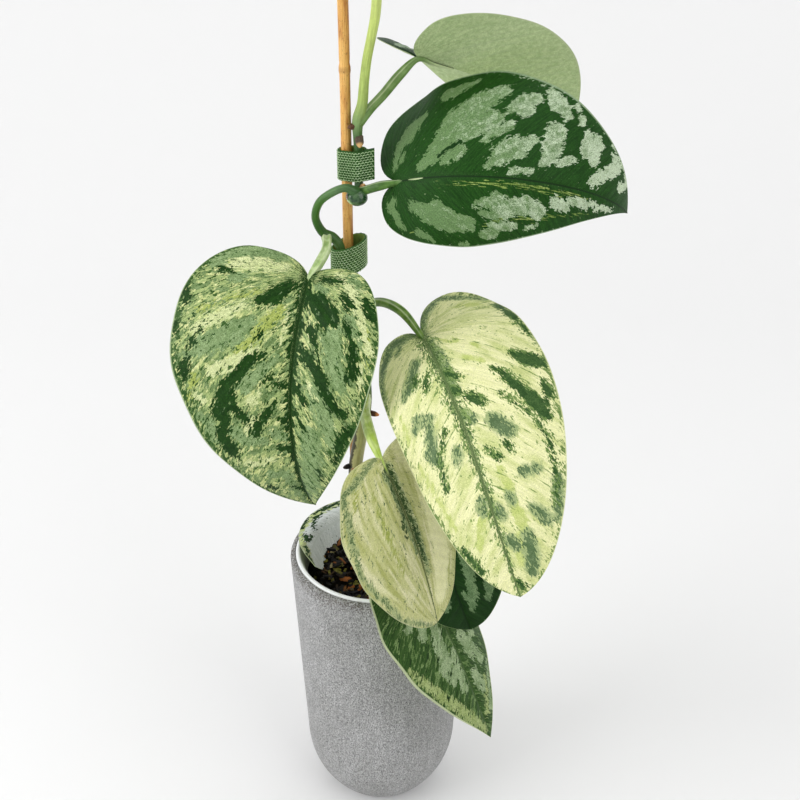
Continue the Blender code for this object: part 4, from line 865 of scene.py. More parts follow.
def add_mesh(name, points, faces, materials, attributes=None, kinds=None, sharp=50.0):
    """A smooth-shaded mesh object from points in millimetres, riding on the body."""
    mesh = bpy.data.meshes.new(name)
    mesh.from_pydata((np.asarray(points, float) * MM).tolist(), [], faces)
    mesh.shade_smooth()
    mesh.set_sharp_from_angle(angle=math.radians(sharp))
    for label, values in (attributes or {}).items():
        values = np.asarray(values, np.float32)
        kind, part = ("FLOAT", "value") if values.ndim == 1 else ("FLOAT_VECTOR", "vector")
        mesh.attributes.new(label, kind, "POINT").data.foreach_set(part, values.ravel())
    for material in materials:
        mesh.materials.append(material)
    if kinds is not None:
        mesh.polygons.foreach_set("material_index", np.asarray(kinds, np.int32))
    thing = bpy.data.objects.new(name, mesh)
    bpy.context.scene.collection.objects.link(thing)
    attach(thing, "root")
    return thing


def join_shapes(*shapes):
    """Several shapes as one: points, faces, and each face's material, or one number for them all."""
    points, faces, kinds = [], [], []
    for more_points, more_faces, more_kinds in shapes:
        start = len(points)
        points += [tuple(point) for point in more_points]
        faces += [tuple(corner + start for corner in face) for face in more_faces]
        kinds += more_kinds if isinstance(more_kinds, list) else [more_kinds] * len(more_faces)
    return points, faces, kinds


def lengths_along(points):
    """How far along its line each point lies."""
    return np.concatenate([[0.0], np.cumsum(np.linalg.norm(np.diff(points, axis=0), axis=1))])


def point_at(value, steps, line):
    """The point of a flat line where its steps reach a value."""
    return np.array([np.interp(value, steps, line[:, axis]) for axis in (0, 1)])


def smooth_route(route, steps=CURVE_STEPS):
    """A Catmull-Rom curve through a route, whose rows also carry a radius."""
    route = np.asarray(route, float)
    ends = np.vstack([2 * route[0] - route[1], route, 2 * route[-1] - route[-2]])
    points = []
    for before, start, end, after in zip(ends, ends[1:], ends[2:], ends[3:]):
        for t in np.arange(steps) / steps:
            bend = (2 * before - 5 * start + 4 * end - after) * t**2
            bend = bend + (3 * start - before - 3 * end + after) * t**3
            points.append(0.5 * (2 * start + (end - before) * t + bend))
    points.append(route[-1])
    return np.array(points)


def ring_angles(sides):
    """The angle of each point of a ring, from half a turn back to half a turn on."""
    return (np.arange(sides) / sides * 2.0 - 1.0) * math.pi


def ring_faces(rings, sides, start=0, outward=True):
    """Faces between rings of points that follow one another, turned outward or inward."""
    faces = []
    for first in range(start, start + (rings - 1) * sides, sides):
        for k in range(sides):
            here, beside = first + k, first + (k + 1) % sides
            face = (here, beside, beside + sides, here + sides)
            faces.append(face if outward else (face[0], *face[:0:-1]))
    return faces


def tube_faces(rings, sides, start=0, outward=True):
    """Faces of a tube with both ends closed."""
    first = tuple(range(start, start + sides))
    last = tuple(corner + (rings - 1) * sides for corner in first)
    ends = [first[::-1], last] if outward else [first, last[::-1]]
    return ring_faces(rings, sides, start, outward) + ends


def disc_faces(rings, sides):
    """Faces of rings of points round a middle point, which comes first."""
    fan = [(0, 1 + k, 1 + (k + 1) % sides) for k in range(sides)]
    return fan + ring_faces(rings, sides, 1, outward=False)


def tube(rings, far, angles, outward):
    """Points and faces of a tube, and each point's share of its length, its angle and its length."""
    along, around = np.repeat(far, len(angles)), np.tile(angles, len(rings))
    faces = tube_faces(len(rings), len(angles), outward=outward)
    return np.vstack(rings), faces, np.column_stack([along / far[-1], around, along])


def loft(route, sides, top, shape):
    """A tube along a route, with its angles from the top and its outline from a shape."""
    centres = route[:, :3]
    tangents = np.gradient(centres, axis=0)
    tangents /= np.linalg.norm(tangents, axis=1)[:, None]
    far = lengths_along(centres)
    angles = ring_angles(sides)
    rings = []
    for centre, radius, tangent, share in zip(centres, route[:, 3], tangents, far / far[-1]):
        top = unit(top - tangent * np.dot(top, tangent))
        ring = np.outer(np.cos(angles), top) + np.outer(np.sin(angles), np.cross(top, tangent))
        rings.append(centre + (radius * shape(angles, share))[:, None] * ring)
    return tube(rings, far, angles, outward=False)


# Leaves


def bezier(start, first, second, end, steps):
    """Points on a cubic curve."""
    t = np.linspace(0.0, 1.0, steps)[:, None]
    start, first, second, end = (np.array(point, float) for point in (start, first, second, end))
    return (1 - t) ** 3 * start + 3 * (1 - t) ** 2 * t * first + 3 * (1 - t) * t**2 * second + t**3 * end


def margin(length, half):
    """One half's outline from the stalk round to the tip: along the midrib, and away from it."""
    lobe_back = (-half.lobe, 0.45 * half.width)
    widest = (half.widest * length, half.width)
    reach = length - widest[0]
    tip = math.radians(half.tip_angle)
    before_lobe = (-0.7 * half.lobe, 0.06 * half.width)
    into_lobe = bezier((0.0, 0.0), before_lobe, (-half.lobe, 0.2 * half.width), lobe_back, MARGIN_STEPS[0])
    before_widest = (widest[0] - 0.56 * (widest[0] + half.lobe), half.width)
    round_lobe = bezier(lobe_back, (-half.lobe, 0.76 * half.width), before_widest, widest, MARGIN_STEPS[1])
    after_widest = (widest[0] + half.fullness * reach, half.width)
    before_tip = (length - 0.3 * reach * math.cos(tip), 0.3 * reach * math.sin(tip))
    to_tip = bezier(widest, after_widest, before_tip, (length, 0.0), MARGIN_STEPS[2])
    return np.vstack([into_lobe, round_lobe[1:], to_tip[1:]])


def vein_rows(length, half):
    """Each row of the blade: its share of the midrib, its length along it, and its two ends."""
    outline = margin(length, half)
    leaves_at = outline[:, 0] - VEIN_LEAN * outline[:, 1]
    last_lobe = int(np.argmax(leaves_at > 0.0)) - 1
    lobe = outline[: last_lobe + 1]
    far = lengths_along(lobe)
    rows = []
    for ray in range(1, LOBE_ROWS + 1):
        share = ray / LOBE_ROWS - 1.0
        end = point_at(far[-1] * ray / LOBE_ROWS, far, lobe)
        rows.append((share, share * far[-1], np.zeros(2), end))
    for station in range(1, STATION_ROWS):
        at = length * station / STATION_ROWS
        end = point_at(at, leaves_at[last_lobe:], outline[last_lobe:])
        rows.append((station / STATION_ROWS, at, np.array([at, 0.0]), end))
    return rows


def along_vein(start, end, share):
    """The flat point a share of the way along a vein, which bows back towards the stalk."""
    bow = VEIN_BOW * (end - start)[1] * share * (1.0 - share)
    return start + (end - start) * share - np.array([bow, 0.0])


def blade_grid(length, left, right):
    """A flat blade in rows along its veins, with what the shader needs to know of each point."""
    flat = [(length * row / STATION_ROWS, 0.0) for row in range(STATION_ROWS + 1)]
    side_of = [0.0] * len(flat)
    vein = list(flat)
    share_of = [0.0] * len(flat)
    faces = []
    shares = [column / COLUMNS for column in range(1, COLUMNS + 1)]
    for side, half in ((1.0, left), (-1.0, right)):
        grid = []
        for number, (_, leaves_at, start, end) in enumerate(vein_rows(length, half)):
            grid.append([max(0, number - LOBE_ROWS + 1), *range(len(flat), len(flat) + COLUMNS)])
            flat += [along_vein(start, end, share) * (1.0, side) for share in shares]
            vein += [(leaves_at, share * np.linalg.norm(end - start)) for share in shares]
            side_of += [side] * COLUMNS
            share_of += shares
        grid.append([STATION_ROWS] * (COLUMNS + 1))
        for here, beyond in zip(grid, grid[1:]):
            for k in range(COLUMNS):
                corners = tuple(dict.fromkeys((here[k], beyond[k], beyond[k + 1], here[k + 1])))
                if len(corners) > 2:
                    faces.append(corners if side > 0 else corners[::-1])
    return np.array(flat), np.array(side_of), np.array(vein), np.array(share_of), faces


def stroke_fields(name, leaf, flat, sides):
    """How far inside a stroke of each kind every point lies, in millimetres."""
    fields = {}
    for label, strokes in STROKES[name].items():
        letter, kind = label.split()
        side, half = (1.0, leaf.left) if letter == "L" else (-1.0, leaf.right)
        stations, _, starts, ends = (np.array(part) for part in zip(*vein_rows(leaf.length, half)))
        depth = fields.setdefault(kind, np.full(len(flat), -STROKE_REACH))
        for places in strokes:
            spots = []
            for station, share, _ in places:
                start, end = (point_at(station / 100, stations, line) for line in (starts, ends))
                spots.append(along_vein(start, end, share / 100) * (1.0, side))
            for first, second, (_, _, wide), (_, _, next_wide) in zip(spots, spots[1:], places, places[1:]):
                run = second - first
                share = np.clip((flat - first) @ run / max(run @ run, 0.01), 0.0, 1.0)
                away = np.linalg.norm(flat - first - share[:, None] * run, axis=1)
                inside = wide + (next_wide - wide) * share - away
                np.maximum(depth, np.where(sides * side >= 0.0, inside, -STROKE_REACH), out=depth)
    return fields


def facing(pitch, yaw):
    """The direction that points up by a pitch and to the left by a yaw, in radians."""
    return np.stack([np.cos(pitch) * np.cos(yaw), np.cos(pitch) * np.sin(yaw), np.sin(pitch)], axis=-1)


def rolled(ahead, yaw, roll):
    """The directions to the left of one and above it, turned about it by a roll."""
    left = np.stack([-np.sin(yaw), np.cos(yaw), np.zeros_like(yaw)], axis=-1)
    above = np.cross(ahead, left)
    return left * np.cos(roll) + above * np.sin(roll), above * np.cos(roll) - left * np.sin(roll)


def bend_blade(leaf, flat, sides):
    """Bend flat points about the midrib and along it, and place them in the plant."""
    angles = (leaf.heading, leaf.dip, leaf.roll, leaf.droop, leaf.sway, leaf.twist)
    heading, dip, roll, droop, sway, twist = np.radians(angles)
    forward = facing(-dip, heading)
    axes = np.stack([forward, *rolled(forward, heading, roll)])
    is_left = sides >= 0.0
    width, fold, curl, lobe_fold = (
        np.where(is_left, getattr(leaf.left, part), getattr(leaf.right, part))
        for part in ("width", "fold", "curl", "lobe_fold")
    )
    steps = (np.arange(BEND_STEPS) + 0.5) / BEND_STEPS
    x, away = flat[:, 0], np.abs(flat[:, 1])
    fold = fold + lobe_fold * smooth_share(1.0 - x / leaf.length)
    slope = np.radians(fold)[:, None] - np.radians(curl)[:, None] * steps * (away / width)[:, None]
    across = np.where(is_left, 1.0, -1.0) * np.cos(slope).mean(axis=1) * away
    rise = np.sin(slope).mean(axis=1) * away
    rise += leaf.ripple * (away / width) ** 2 * np.sin(math.tau * RIPPLES * x / leaf.length)
    along = np.maximum(x, 0.0)
    share = along / leaf.length
    partway = steps * share[:, None]
    spine = facing(-droop * partway, sway * partway).mean(axis=1) * along[:, None]
    spine[:, 0] += np.minimum(x, 0.0)
    ahead = facing(-droop * share, sway * share)
    beside, over = rolled(ahead, sway * share, (twist * share)[:, None])
    return (spine + across[:, None] * beside + rise[:, None] * over) @ axes + np.array(leaf.base)


def in_pot(flat):
    """Lay flat points along the pot's wall: low inside, over the rim outside."""
    angle = math.radians(POT_LEAF_START) + flat[:, 0] / POT_LEAF_RING
    radius = POT_LEAF_RING - flat[:, 1]
    start, end = POT_LEAF_BEND
    height = POT_LEAF_FLOOR + (POT_LEAF_TOP - POT_LEAF_FLOOR) * smooth_share((radius - start) / (end - start))
    return np.stack([radius * np.cos(angle), radius * np.sin(angle), height], axis=1)


def point_normals(points, faces):
    """The direction that the surface faces at each point."""
    corners = np.array([(*face, face[0])[:4] for face in faces])
    first, second, third, last = (points[column] for column in corners.T)
    across = np.cross(third - first, last - second)
    normals = np.zeros_like(points)
    for column in corners.T:
        np.add.at(normals, column, across)
    lengths = np.linalg.norm(normals, axis=1)[:, None]
    return normals / np.where(lengths == 0.0, 1.0, lengths)


def relief(flat, vein, shares, length, seed):
    """How far the upper face stands out of a plain bend, in millimetres."""
    spots = flat / UNDULATION_PITCH
    waves = np.array([noise.noise(Vector((x, y, seed))) for x, y in spots])
    quilt = QUILT_HEIGHT * np.cos(math.tau * vein[:, 0] / VEIN_PITCH)
    quilt *= smooth_share(shares / 0.25) * smooth_share((1.0 - shares) / 0.3)
    quilt *= smooth_share((length - vein[:, 0]) / (0.3 * length))
    return UNDULATION * waves * smooth_share(shares / 0.4) + quilt


def make_blade(name, leaf, place):
    """A blade with two faces: points, faces and the numbers that its shader reads."""
    flat, sides, vein, shares, faces = blade_grid(leaf.length, leaf.left, leaf.right)
    points = place(flat, sides)
    normals = point_normals(points, faces)
    thin = smooth_share((shares - 0.55) / 0.45)
    half_thickness = HALF_THICKNESS + (MARGIN_HALF_THICKNESS - HALF_THICKNESS) * thin
    away = np.abs(flat[:, 1])
    lift = LOOKS[name].relief * relief(flat, vein, shares, leaf.length, LOOKS[name].seed)
    groove = LOOKS[name].relief * MIDRIB_GROOVE * np.exp(-((away / MIDRIB_GROOVE_WIDTH) ** 2))
    groove *= smooth_share((1.0 - flat[:, 0] / leaf.length) / 0.3)
    upper = points + normals * (half_thickness + lift - groove)[:, None]
    lower = points - normals * (half_thickness - lift + 0.4 * groove)[:, None]
    count = len(points)
    edges = {(a, b) for face in faces for a, b in zip(face, face[1:] + face[:1])}
    all_faces = faces + [tuple(corner + count for corner in face[::-1]) for face in faces]
    all_faces += [(b, a, a + count, b + count) for a, b in sorted(edges) if (b, a) not in edges]
    attributes = stroke_fields(name, leaf, flat, sides)
    attributes["vein"] = np.column_stack([vein, sides])
    attributes["place"] = np.column_stack([flat[:, 0] / leaf.length, shares, away])
    doubled = {label: np.concatenate([values, values]) for label, values in attributes.items()}
    doubled["under"] = np.repeat([0.0, 1.0], count)
    return np.vstack([upper, lower]), all_faces, doubled


def stalk_shape(wing):
    """The outline of a stalk's section: a groove on top, with a thin wing on each side low down."""

    def spread(angles, share):
        turn = np.abs(angles)
        groove = 0.24 * np.exp(-((turn / 0.42) ** 2))
        sheath = float(smooth_share((share - 0.02) / 0.06) * smooth_share((0.62 - share) / 0.25))
        wings = wing * sheath * np.exp(-(((turn - 0.62) / 0.2) ** 2))
        return 1.0 - groove + 0.06 * np.exp(-(((turn - 0.7) / 0.3) ** 2)) + wings

    return spread


def make_leaf(name, leaf, place, under):
    """One leaf: its blade and its stalk in one mesh that stands for the frame's node."""
    blade_points, blade_faces, attributes = make_blade(name, leaf, place)
    rows = [[*spot, leaf.stalk_radius] for spot in leaf.stalk]
    rows += [[*spot, radius] for spot, radius in zip(under, STALK_RADII)]
    rows[0][3] *= STALK_FOOT_SWELL
    stalk_points, stalk_faces, stalk = loft(
        smooth_route(rows), STALK_SIDES, (0.0, 0.0, 1.0), stalk_shape(leaf.wing)
    )
    points, faces, kinds = join_shapes((blade_points, blade_faces, 0), (stalk_points, stalk_faces, 1))
    for label, values in attributes.items():
        attributes[label] = np.concatenate([values, np.zeros((len(stalk_points), *values.shape[1:]))])
    attributes["stalk"] = np.vstack([np.zeros((len(blade_points), 3)), stalk])
    materials = [blade_material(name, LOOKS[name]), stalk_material(name, LOOKS[name], leaf.length)]
    piece = add_mesh(name + "_blade", points, faces, materials, attributes, kinds)
    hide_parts(name)


def under_midrib(spine, beside):
    """Points just under the midrib, from points on it and others to their left."""
    below = np.cross(beside - spine, np.gradient(spine, axis=0))
    below /= np.linalg.norm(below, axis=1)[:, None]
    return spine + below * np.array(STALK_DEPTHS)[:, None]


def blade_material(name, look):
    """A satin blade: broken patches and streaks along its veins, fine grain, and a paler underside."""
    shader = Shader(name, 0.48, 0.1)
    leaves_at, along, side = shader.parts_of("vein")
    station, share, away = shader.parts_of("place")
    drawn = shader.times_plus(side, SIDE_SHIFT, look.seed * SEED_SHIFT)
    sideways = shader.times(share, ARC_SPREAD)

    def vein_space(steps, shift, lengthwise=False):
        across, down = (sideways, leaves_at) if lengthwise else (leaves_at, along)
        layer = shader.plus(drawn, shift)
        return shader.join(shader.over(across, steps[0]), shader.over(down, steps[1]), layer)

    grain = shader.noise(GRAIN_PITCH, 2.0, 0.7)
    mottle = shader.noise(MOTTLE_PITCH, 4.0, 0.6)
    speckle = shader.times_plus(shader.plus(grain, mottle), 0.5, -0.5 * PATCH_CONTRAST)
    fine = shader.noise(vein_space(FINE_STREAK, 3.0), 3.0, 0.6)
    patch = shader.times(shader.cell_value(vein_space(PATCH_CELL, 5.0)), PATCH_CONTRAST)
    varied = shader.plus(speckle, patch)
    colour = shader.tint(*look.ground, fine, 0.35, 0.65)
    past_ridge = shader.calc("FLOORED_MODULO", leaves_at, VEIN_PITCH)
    sources = {
        "midrib": shader.over(away, shader.minus(1.25, station)),
        "veins": shader.size_of(shader.minus(past_ridge, 0.5 * VEIN_PITCH)),
        "edge": share,
        "all": 0.0,
    }
    for number, layer in enumerate(look.layers):
        source = sources[layer.source] if layer.source in sources else shader.value_of(layer.source)
        value = shader.times_plus(source, layer.gain, layer.bias)
        value = shader.sway(value, shader.cell_value(vein_space(layer.cell, 11.0 + number)), layer.jag)
        streak = shader.noise(vein_space(layer.run, 17.0 + number, layer.lengthwise), layer.detail)
        value = shader.sway(value, streak, layer.streak)
        # Painted sheen: lit moves each marking towards its other colour nearer the tip.
        tone = shader.times_plus(station, layer.painted_sheen, shader.minus(varied, 0.5 * layer.painted_sheen))
        marking = shader.tint(layer.colour, layer.other, tone, 0.35, 0.7)
        colour = shader.tint(colour, marking, value, -layer.soft, layer.soft)
    colour = shader.vary(colour, grain, 1.0 - look.grain, 1.0 + look.grain)
    margin_end = min(1.0, look.margin_start + 0.012)
    colour = shader.tint(colour, look.margin, share, look.margin_start, margin_end, 0.0, 0.8)
    colour = shader.tint(colour, look.rib, away, 0.3 * RIB_WIDTH, RIB_WIDTH, 0.85, 0.0)
    below = shader.tint(*look.under, mottle, 0.3, 0.7)
    below = shader.vary(below, fine, 0.95, 1.03)
    below = shader.vary(below, grain, 0.78, 1.2)
    below = shader.shade(below, share, 0.1, 1.0, 1.07, 1.0)
    below = shader.tint(below, look.margin, share, 0.975, 0.99, 0.0, 0.7)
    colour = shader.blend(shader.value_of("under"), colour, below)
    return shader.finish(colour, shader.plus(shader.times(grain, 0.5), shader.times(fine, 0.7)), 0.1)


def stalk_material(name, look, length):
    """A fleshy stalk with fine lengthwise lines and a paler edge to its groove."""
    shader = Shader(name + "_stalk", 0.4, 0.3)
    share, turn, far = shader.parts_of("stalk")
    lines = shader.fibres(turn, far, 3.0, 9.0, 0.0, 3.0)
    colour = shader.tint(*look.stalk, shader.noise(4.0), 0.35, 0.65)
    from_top = shader.size_of(turn)
    ridge = shader.rise(shader.size_of(shader.minus(from_top, 0.65)), 0.0, 0.3, 0.42, 0.0)
    low_down = shader.rise(share, 0.35, 0.75, 1.0, 0.15)
    colour = shader.blend(shader.times(ridge, low_down), colour, (216, 226, 186))
    colour = shader.vary(colour, lines, 0.86, 1.1)
    left_to_go = shader.minus(shader.over(far, share), far)
    on_blade = STALK_REACH[-1] * length
    blade_tone = shader.tint(look.rib, look.under[0], from_top, 0.8, 1.2)
    colour = shader.tint(colour, blade_tone, left_to_go, 0.45 * on_blade, on_blade, 1.0, 0.0)
    return shader.finish(colour, lines, 0.15)


def make_leaves():
    """The seven leaves of the vine, and the young one in the pot."""
    for name, leaf in LEAVES.items():
        spots = np.array([[share * leaf.length, 0.0] for share in STALK_REACH])
        ones = np.ones(len(spots))
        spine = bend_blade(leaf, spots, ones)
        beside = spine + bend_blade(leaf, spots + [0.0, 1.0], ones)
        beside -= bend_blade(leaf, spots - [0.0, 1.0], -ones)
        make_leaf(name, leaf, partial(bend_blade, leaf), under_midrib(spine, beside))
    spots = np.array([[share * POT_LEAF.length, 0.0] for share in STALK_REACH])
    under = under_midrib(in_pot(spots), in_pot(spots + [0.0, 1.0]))
    make_leaf("leaf_in_pot", POT_LEAF, lambda flat, sides: in_pot(flat), under)


# Stem


def stem_material():
    """The vine's skin: olive and corky low down, green higher up, and yellow-green at the shoot."""
    shader = Shader("vine", 0.32, 0.3)
    share, turn, far = shader.parts_of("stalk")
    lines = shader.fibres(turn, far, 3.2, 12.0, 1.0, 3.0)
    patchy = shader.noise(3.0, 4.0, 0.6)
    cork = shader.times(shader.rise(patchy, 0.55, 0.68), shader.rise(share, 0.2, 0.3, 0.8, 0.1))
    colour = shader.vary(shader.ramp(share, STEM_COLOURS), lines, 0.84, 1.12)
    colour = shader.blend(cork, colour, (70, 54, 34))
    # Painted shade: low down, one side of the stem is darkened nearly to black.
    shaded_side = shader.rise(shader.sway(turn, patchy, 1.6), 0.35, 0.75)
    painted_side_shade = shader.times(shaded_side, shader.rise(share, 0.29, 0.33, 0.9, 0.0))
    colour = shader.blend(painted_side_shade, colour, (26, 22, 14))
    colour = shader.vary(colour, patchy, 0.9, 1.08)
    return shader.finish(colour, shader.plus(lines, shader.times(patchy, 0.6)), 0.2)


def make_stem():
    """The vine up to its furled leaf, whose overlapping edge winds round it."""

    def section(angles, share):
        ridges = 1.0 + 0.025 * np.cos(5.0 * angles + 3.0 * share)
        furled = smooth_share((share - FURLED_FROM) / FURLED_FADE)
        seam = (angles / math.tau + 0.5 + 0.9 * share) % 1.0
        return ridges * (1.0 - furled) + furled * (0.9 + 0.16 * seam)

    points, faces, stalk = loft(smooth_route(STEM_ROUTE), STEM_SIDES, (0.0, -1.0, 0.2), section)
    piece = add_mesh("vine", points, faces, [stem_material()], {"stalk": stalk}, sharp=70.0)
    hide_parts("vine_stem")
    make_knuckle()
    for number, nub in enumerate(NUBS):
        make_nub(number, *nub)


def make_nub(number, name, place, direction, length, radius, colour, tip_colour):
    """A blunt aerial root with corky skin and a paler growing tip."""
    direction = unit(direction)
    root = np.array(place) - direction * NUB_SINK
    reach = length + NUB_SINK
    rows = [[*(root + direction * reach * share), radius * width] for share, width in NUB_SHAPE]
    first_lump, second_lump = np.random.default_rng(NUB_SEED + number).uniform(0.0, math.tau, 2)

    def section(angles, share):
        lumps = 0.04 * np.sin(5.0 * angles + second_lump + 6.0 * share)
        return 1.0 + 0.06 * np.sin(3.0 * angles + first_lump) + lumps

    points, faces, stalk = loft(smooth_route(rows, NUB_STEPS), NUB_SIDES, (0.2, 0.3, 1.0), section)
    shader = Shader(name, 0.7, 0.25)
    cork = shader.noise(0.6, 4.0, 0.65)
    body = shader.vary(colour, cork, 0.6, 1.3)
    share = shader.parts_of("stalk")[0]
    shader.finish(shader.tint(body, tip_colour, share, 0.62, 0.86), cork, 0.25)
    piece = add_mesh(name, points, faces, [shader.material], {"stalk": stalk}, sharp=80.0)


def make_knuckle():
    """The swollen joint under the upper tie, with a leaf scar."""
    bpy.ops.mesh.primitive_ico_sphere_add(subdivisions=KNUCKLE_DIVISIONS, radius=1.0)
    ball = bpy.context.object
    points = np.array([tuple(vertex.co) for vertex in ball.data.vertices])
    faces = [tuple(face.vertices) for face in ball.data.polygons]
    bpy.data.objects.remove(ball, do_unlink=True)
    lumps = 1.0 + 0.06 * np.array([noise.noise(Vector(point) * 1.3) for point in points])
    points = KNUCKLE_CENTRE + points * KNUCKLE_STRETCH * KNUCKLE_RADIUS * lumps[:, None]
    shader = Shader("knuckle", 0.18, 0.55)
    patchy = shader.noise(2.6, 3.0)
    fine = shader.noise(0.7, 3.0)
    colour = shader.tint((28, 62, 32), (74, 106, 66), patchy, 0.38, 0.6)
    colour = shader.vary(colour, fine, 0.86, 1.1)
    spot = shader.node("TexCoord").outputs["Object"]
    for at, size, tone in KNUCKLE_SPOTS:
        middle = [part * MM for part in at]
        gap = shader.node("VectorMath", (spot, middle), operation="DISTANCE").outputs["Value"]
        near = shader.sway(gap, fine, 1.5 * MM)
        colour = shader.tint(colour, tone, near, 0.5 * size * MM, 1.1 * size * MM, 1.0, 0.0)
    shader.finish(colour, patchy, 0.3)
    piece = add_mesh("stem_knuckle", points, faces, [shader.material], sharp=80.0)


# Stake


def make_stake():
    """The bamboo stake, with a ridge and a groove at each knot and a hollow cut end."""
    foot, head = np.array(STAKE_FOOT), np.array(STAKE_HEAD)
    length = np.linalg.norm(head - foot)
    shares = np.linspace(0.0, 1.0, STAKE_RINGS)
    centres = foot + (head - foot) * shares[:, None]
    bend = np.column_stack([0.35 * np.sin(9.0 * shares), 0.25 * np.sin(7.0 * shares + 1.0), 0.0 * shares])
    centres += bend * (smooth_share(shares * 6.0) * smooth_share((1.0 - shares) * 8.0))[:, None]
    radii = STAKE_RADIUS + 0.03 * np.sin(37.0 * shares)
    for knot in STAKE_KNOTS:
        far = (shares - knot) * length
        radii += STAKE_KNOT_RISE * np.exp(-((far / 1.6) ** 2)) - 0.16 * np.exp(-(((far - 2.6) / 0.9) ** 2))
    centres = np.vstack([centres, head, head, head - [0.0, 0.0, 2.0]])
    radii = np.concatenate([radii, STAKE_RADIUS * np.array([0.93, 0.4, 0.35])])
    angles = ring_angles(STAKE_SIDES)
    outline = np.column_stack([np.sin(angles), -np.cos(angles), 0.0 * angles])
    outline *= 1.0 + 0.012 * np.cos(3.0 * angles + 1.0)[:, None]
    rings = [centre + radius * outline for centre, radius in zip(centres, radii)]
    points, faces, stalk = tube(rings, lengths_along(centres), angles, outward=True)
    stalk[:, 0] = stalk[:, 2] / length
    shader = Shader("bamboo", 0.42, 0.35)
    share, turn, far = shader.parts_of("stalk")
    fibre = shader.fibres(turn, far, 6.0, 26.0, 0.0, 4.0, 0.65)
    stain = shader.fibres(turn, far, 0.9, 17.0, 4.0, 4.0, 0.6)
    fleck = shader.fibres(turn, far, 5.0, 1.6, 9.0, 2.0)
    colour = shader.tint((208, 148, 70), (236, 192, 112), fibre, 0.35, 0.65)
    colour = shader.tint(colour, (166, 100, 40), stain, 0.48, 0.7, 0.0, 0.8)
    # Painted shade: the side of the stake away from the light darkens to orange-brown.
    colour = shader.tint(colour, (162, 98, 42), shader.sway(turn, stain, 2.4), 0.3, 1.2, 0.0, 0.7)
    colour = shader.tint(colour, (98, 54, 22), fleck, 0.62, 0.7, 0.0, 0.7)
    # Darker brown over the lower part of the stake, broken up by the stain noise.
    darker_low_down = shader.times(shader.rise(stain, 0.3, 0.6, 0.5, 1.0), shader.rise(share, 0.38, 0.47, 0.75, 0.0))
    colour = shader.blend(darker_low_down, colour, (74, 52, 30))
    for knot in STAKE_KNOTS:
        near = shader.size_of(shader.minus(share, knot))
        colour = shader.tint(colour, (132, 84, 40), near, 0.001, 0.005, 0.35, 0.0)
    shader.finish(colour, fibre, 0.12)
    piece = add_mesh("bamboo_stake", points, faces, [shader.material], {"stalk": stalk}, sharp=45.0)
    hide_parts("stake")


# Ties


def stake_at(height):
    """The stake's centre in plan, at a height."""
    foot, head = np.array(STAKE_FOOT), np.array(STAKE_HEAD)
    return (foot + (head - foot) * (height - foot[2]) / (head[2] - foot[2]))[:2]


def even_loop(loop):
    """A closed outline with its points set evenly along it."""
    closed = np.vstack([loop, loop[:1]])
    far = lengths_along(closed)
    return point_at(np.arange(TIE_SIDES) / TIE_SIDES * far[-1], far, closed).T


def wrapped_loop(circles, clearance):
    """The outline of a strip pulled round several circles of (x, y, radius)."""
    loop = []
    for angle in LOOP_ANGLES:
        direction = np.array([math.cos(angle), math.sin(angle)])
        best = max(circles, key=lambda circle: np.dot(circle[:2], direction) + circle[2])
        loop.append(np.array(best[:2]) + direction * (best[2] + clearance))
    return even_loop(np.array(loop))


def oval_loop(centre, radii, grow):
    """An oval outline."""
    ring = np.column_stack([np.cos(LOOP_ANGLES), np.sin(LOOP_ANGLES)])
    return even_loop(np.array(centre) + (np.array(radii) + grow) * ring)


def tie_material(name, strip, hook, inside):
    """Hook-and-loop tape: a dull backing with lighter, slightly glossy hooks."""
    backing = Shader(name + "_backing", 0.75, 0.2)
    weave = backing.noise((0.5, 0.5, 0.3))
    backing.finish(backing.vary(strip, weave, 0.7, 1.2), weave, 0.15)
    lining = Shader(name + "_lining", 0.85, 0.15)
    fuzz = lining.noise(0.7, 3.0)
    lining.finish(lining.vary(inside, fuzz, 0.8, 1.15), fuzz, 0.3)
    hooks = Shader(name + "_hooks", 0.22, 0.7)
    hooks.finish(hooks.vary(hook, hooks.noise(2.2), 0.82, 1.15))
    return [backing.material, lining.material, hooks.material]


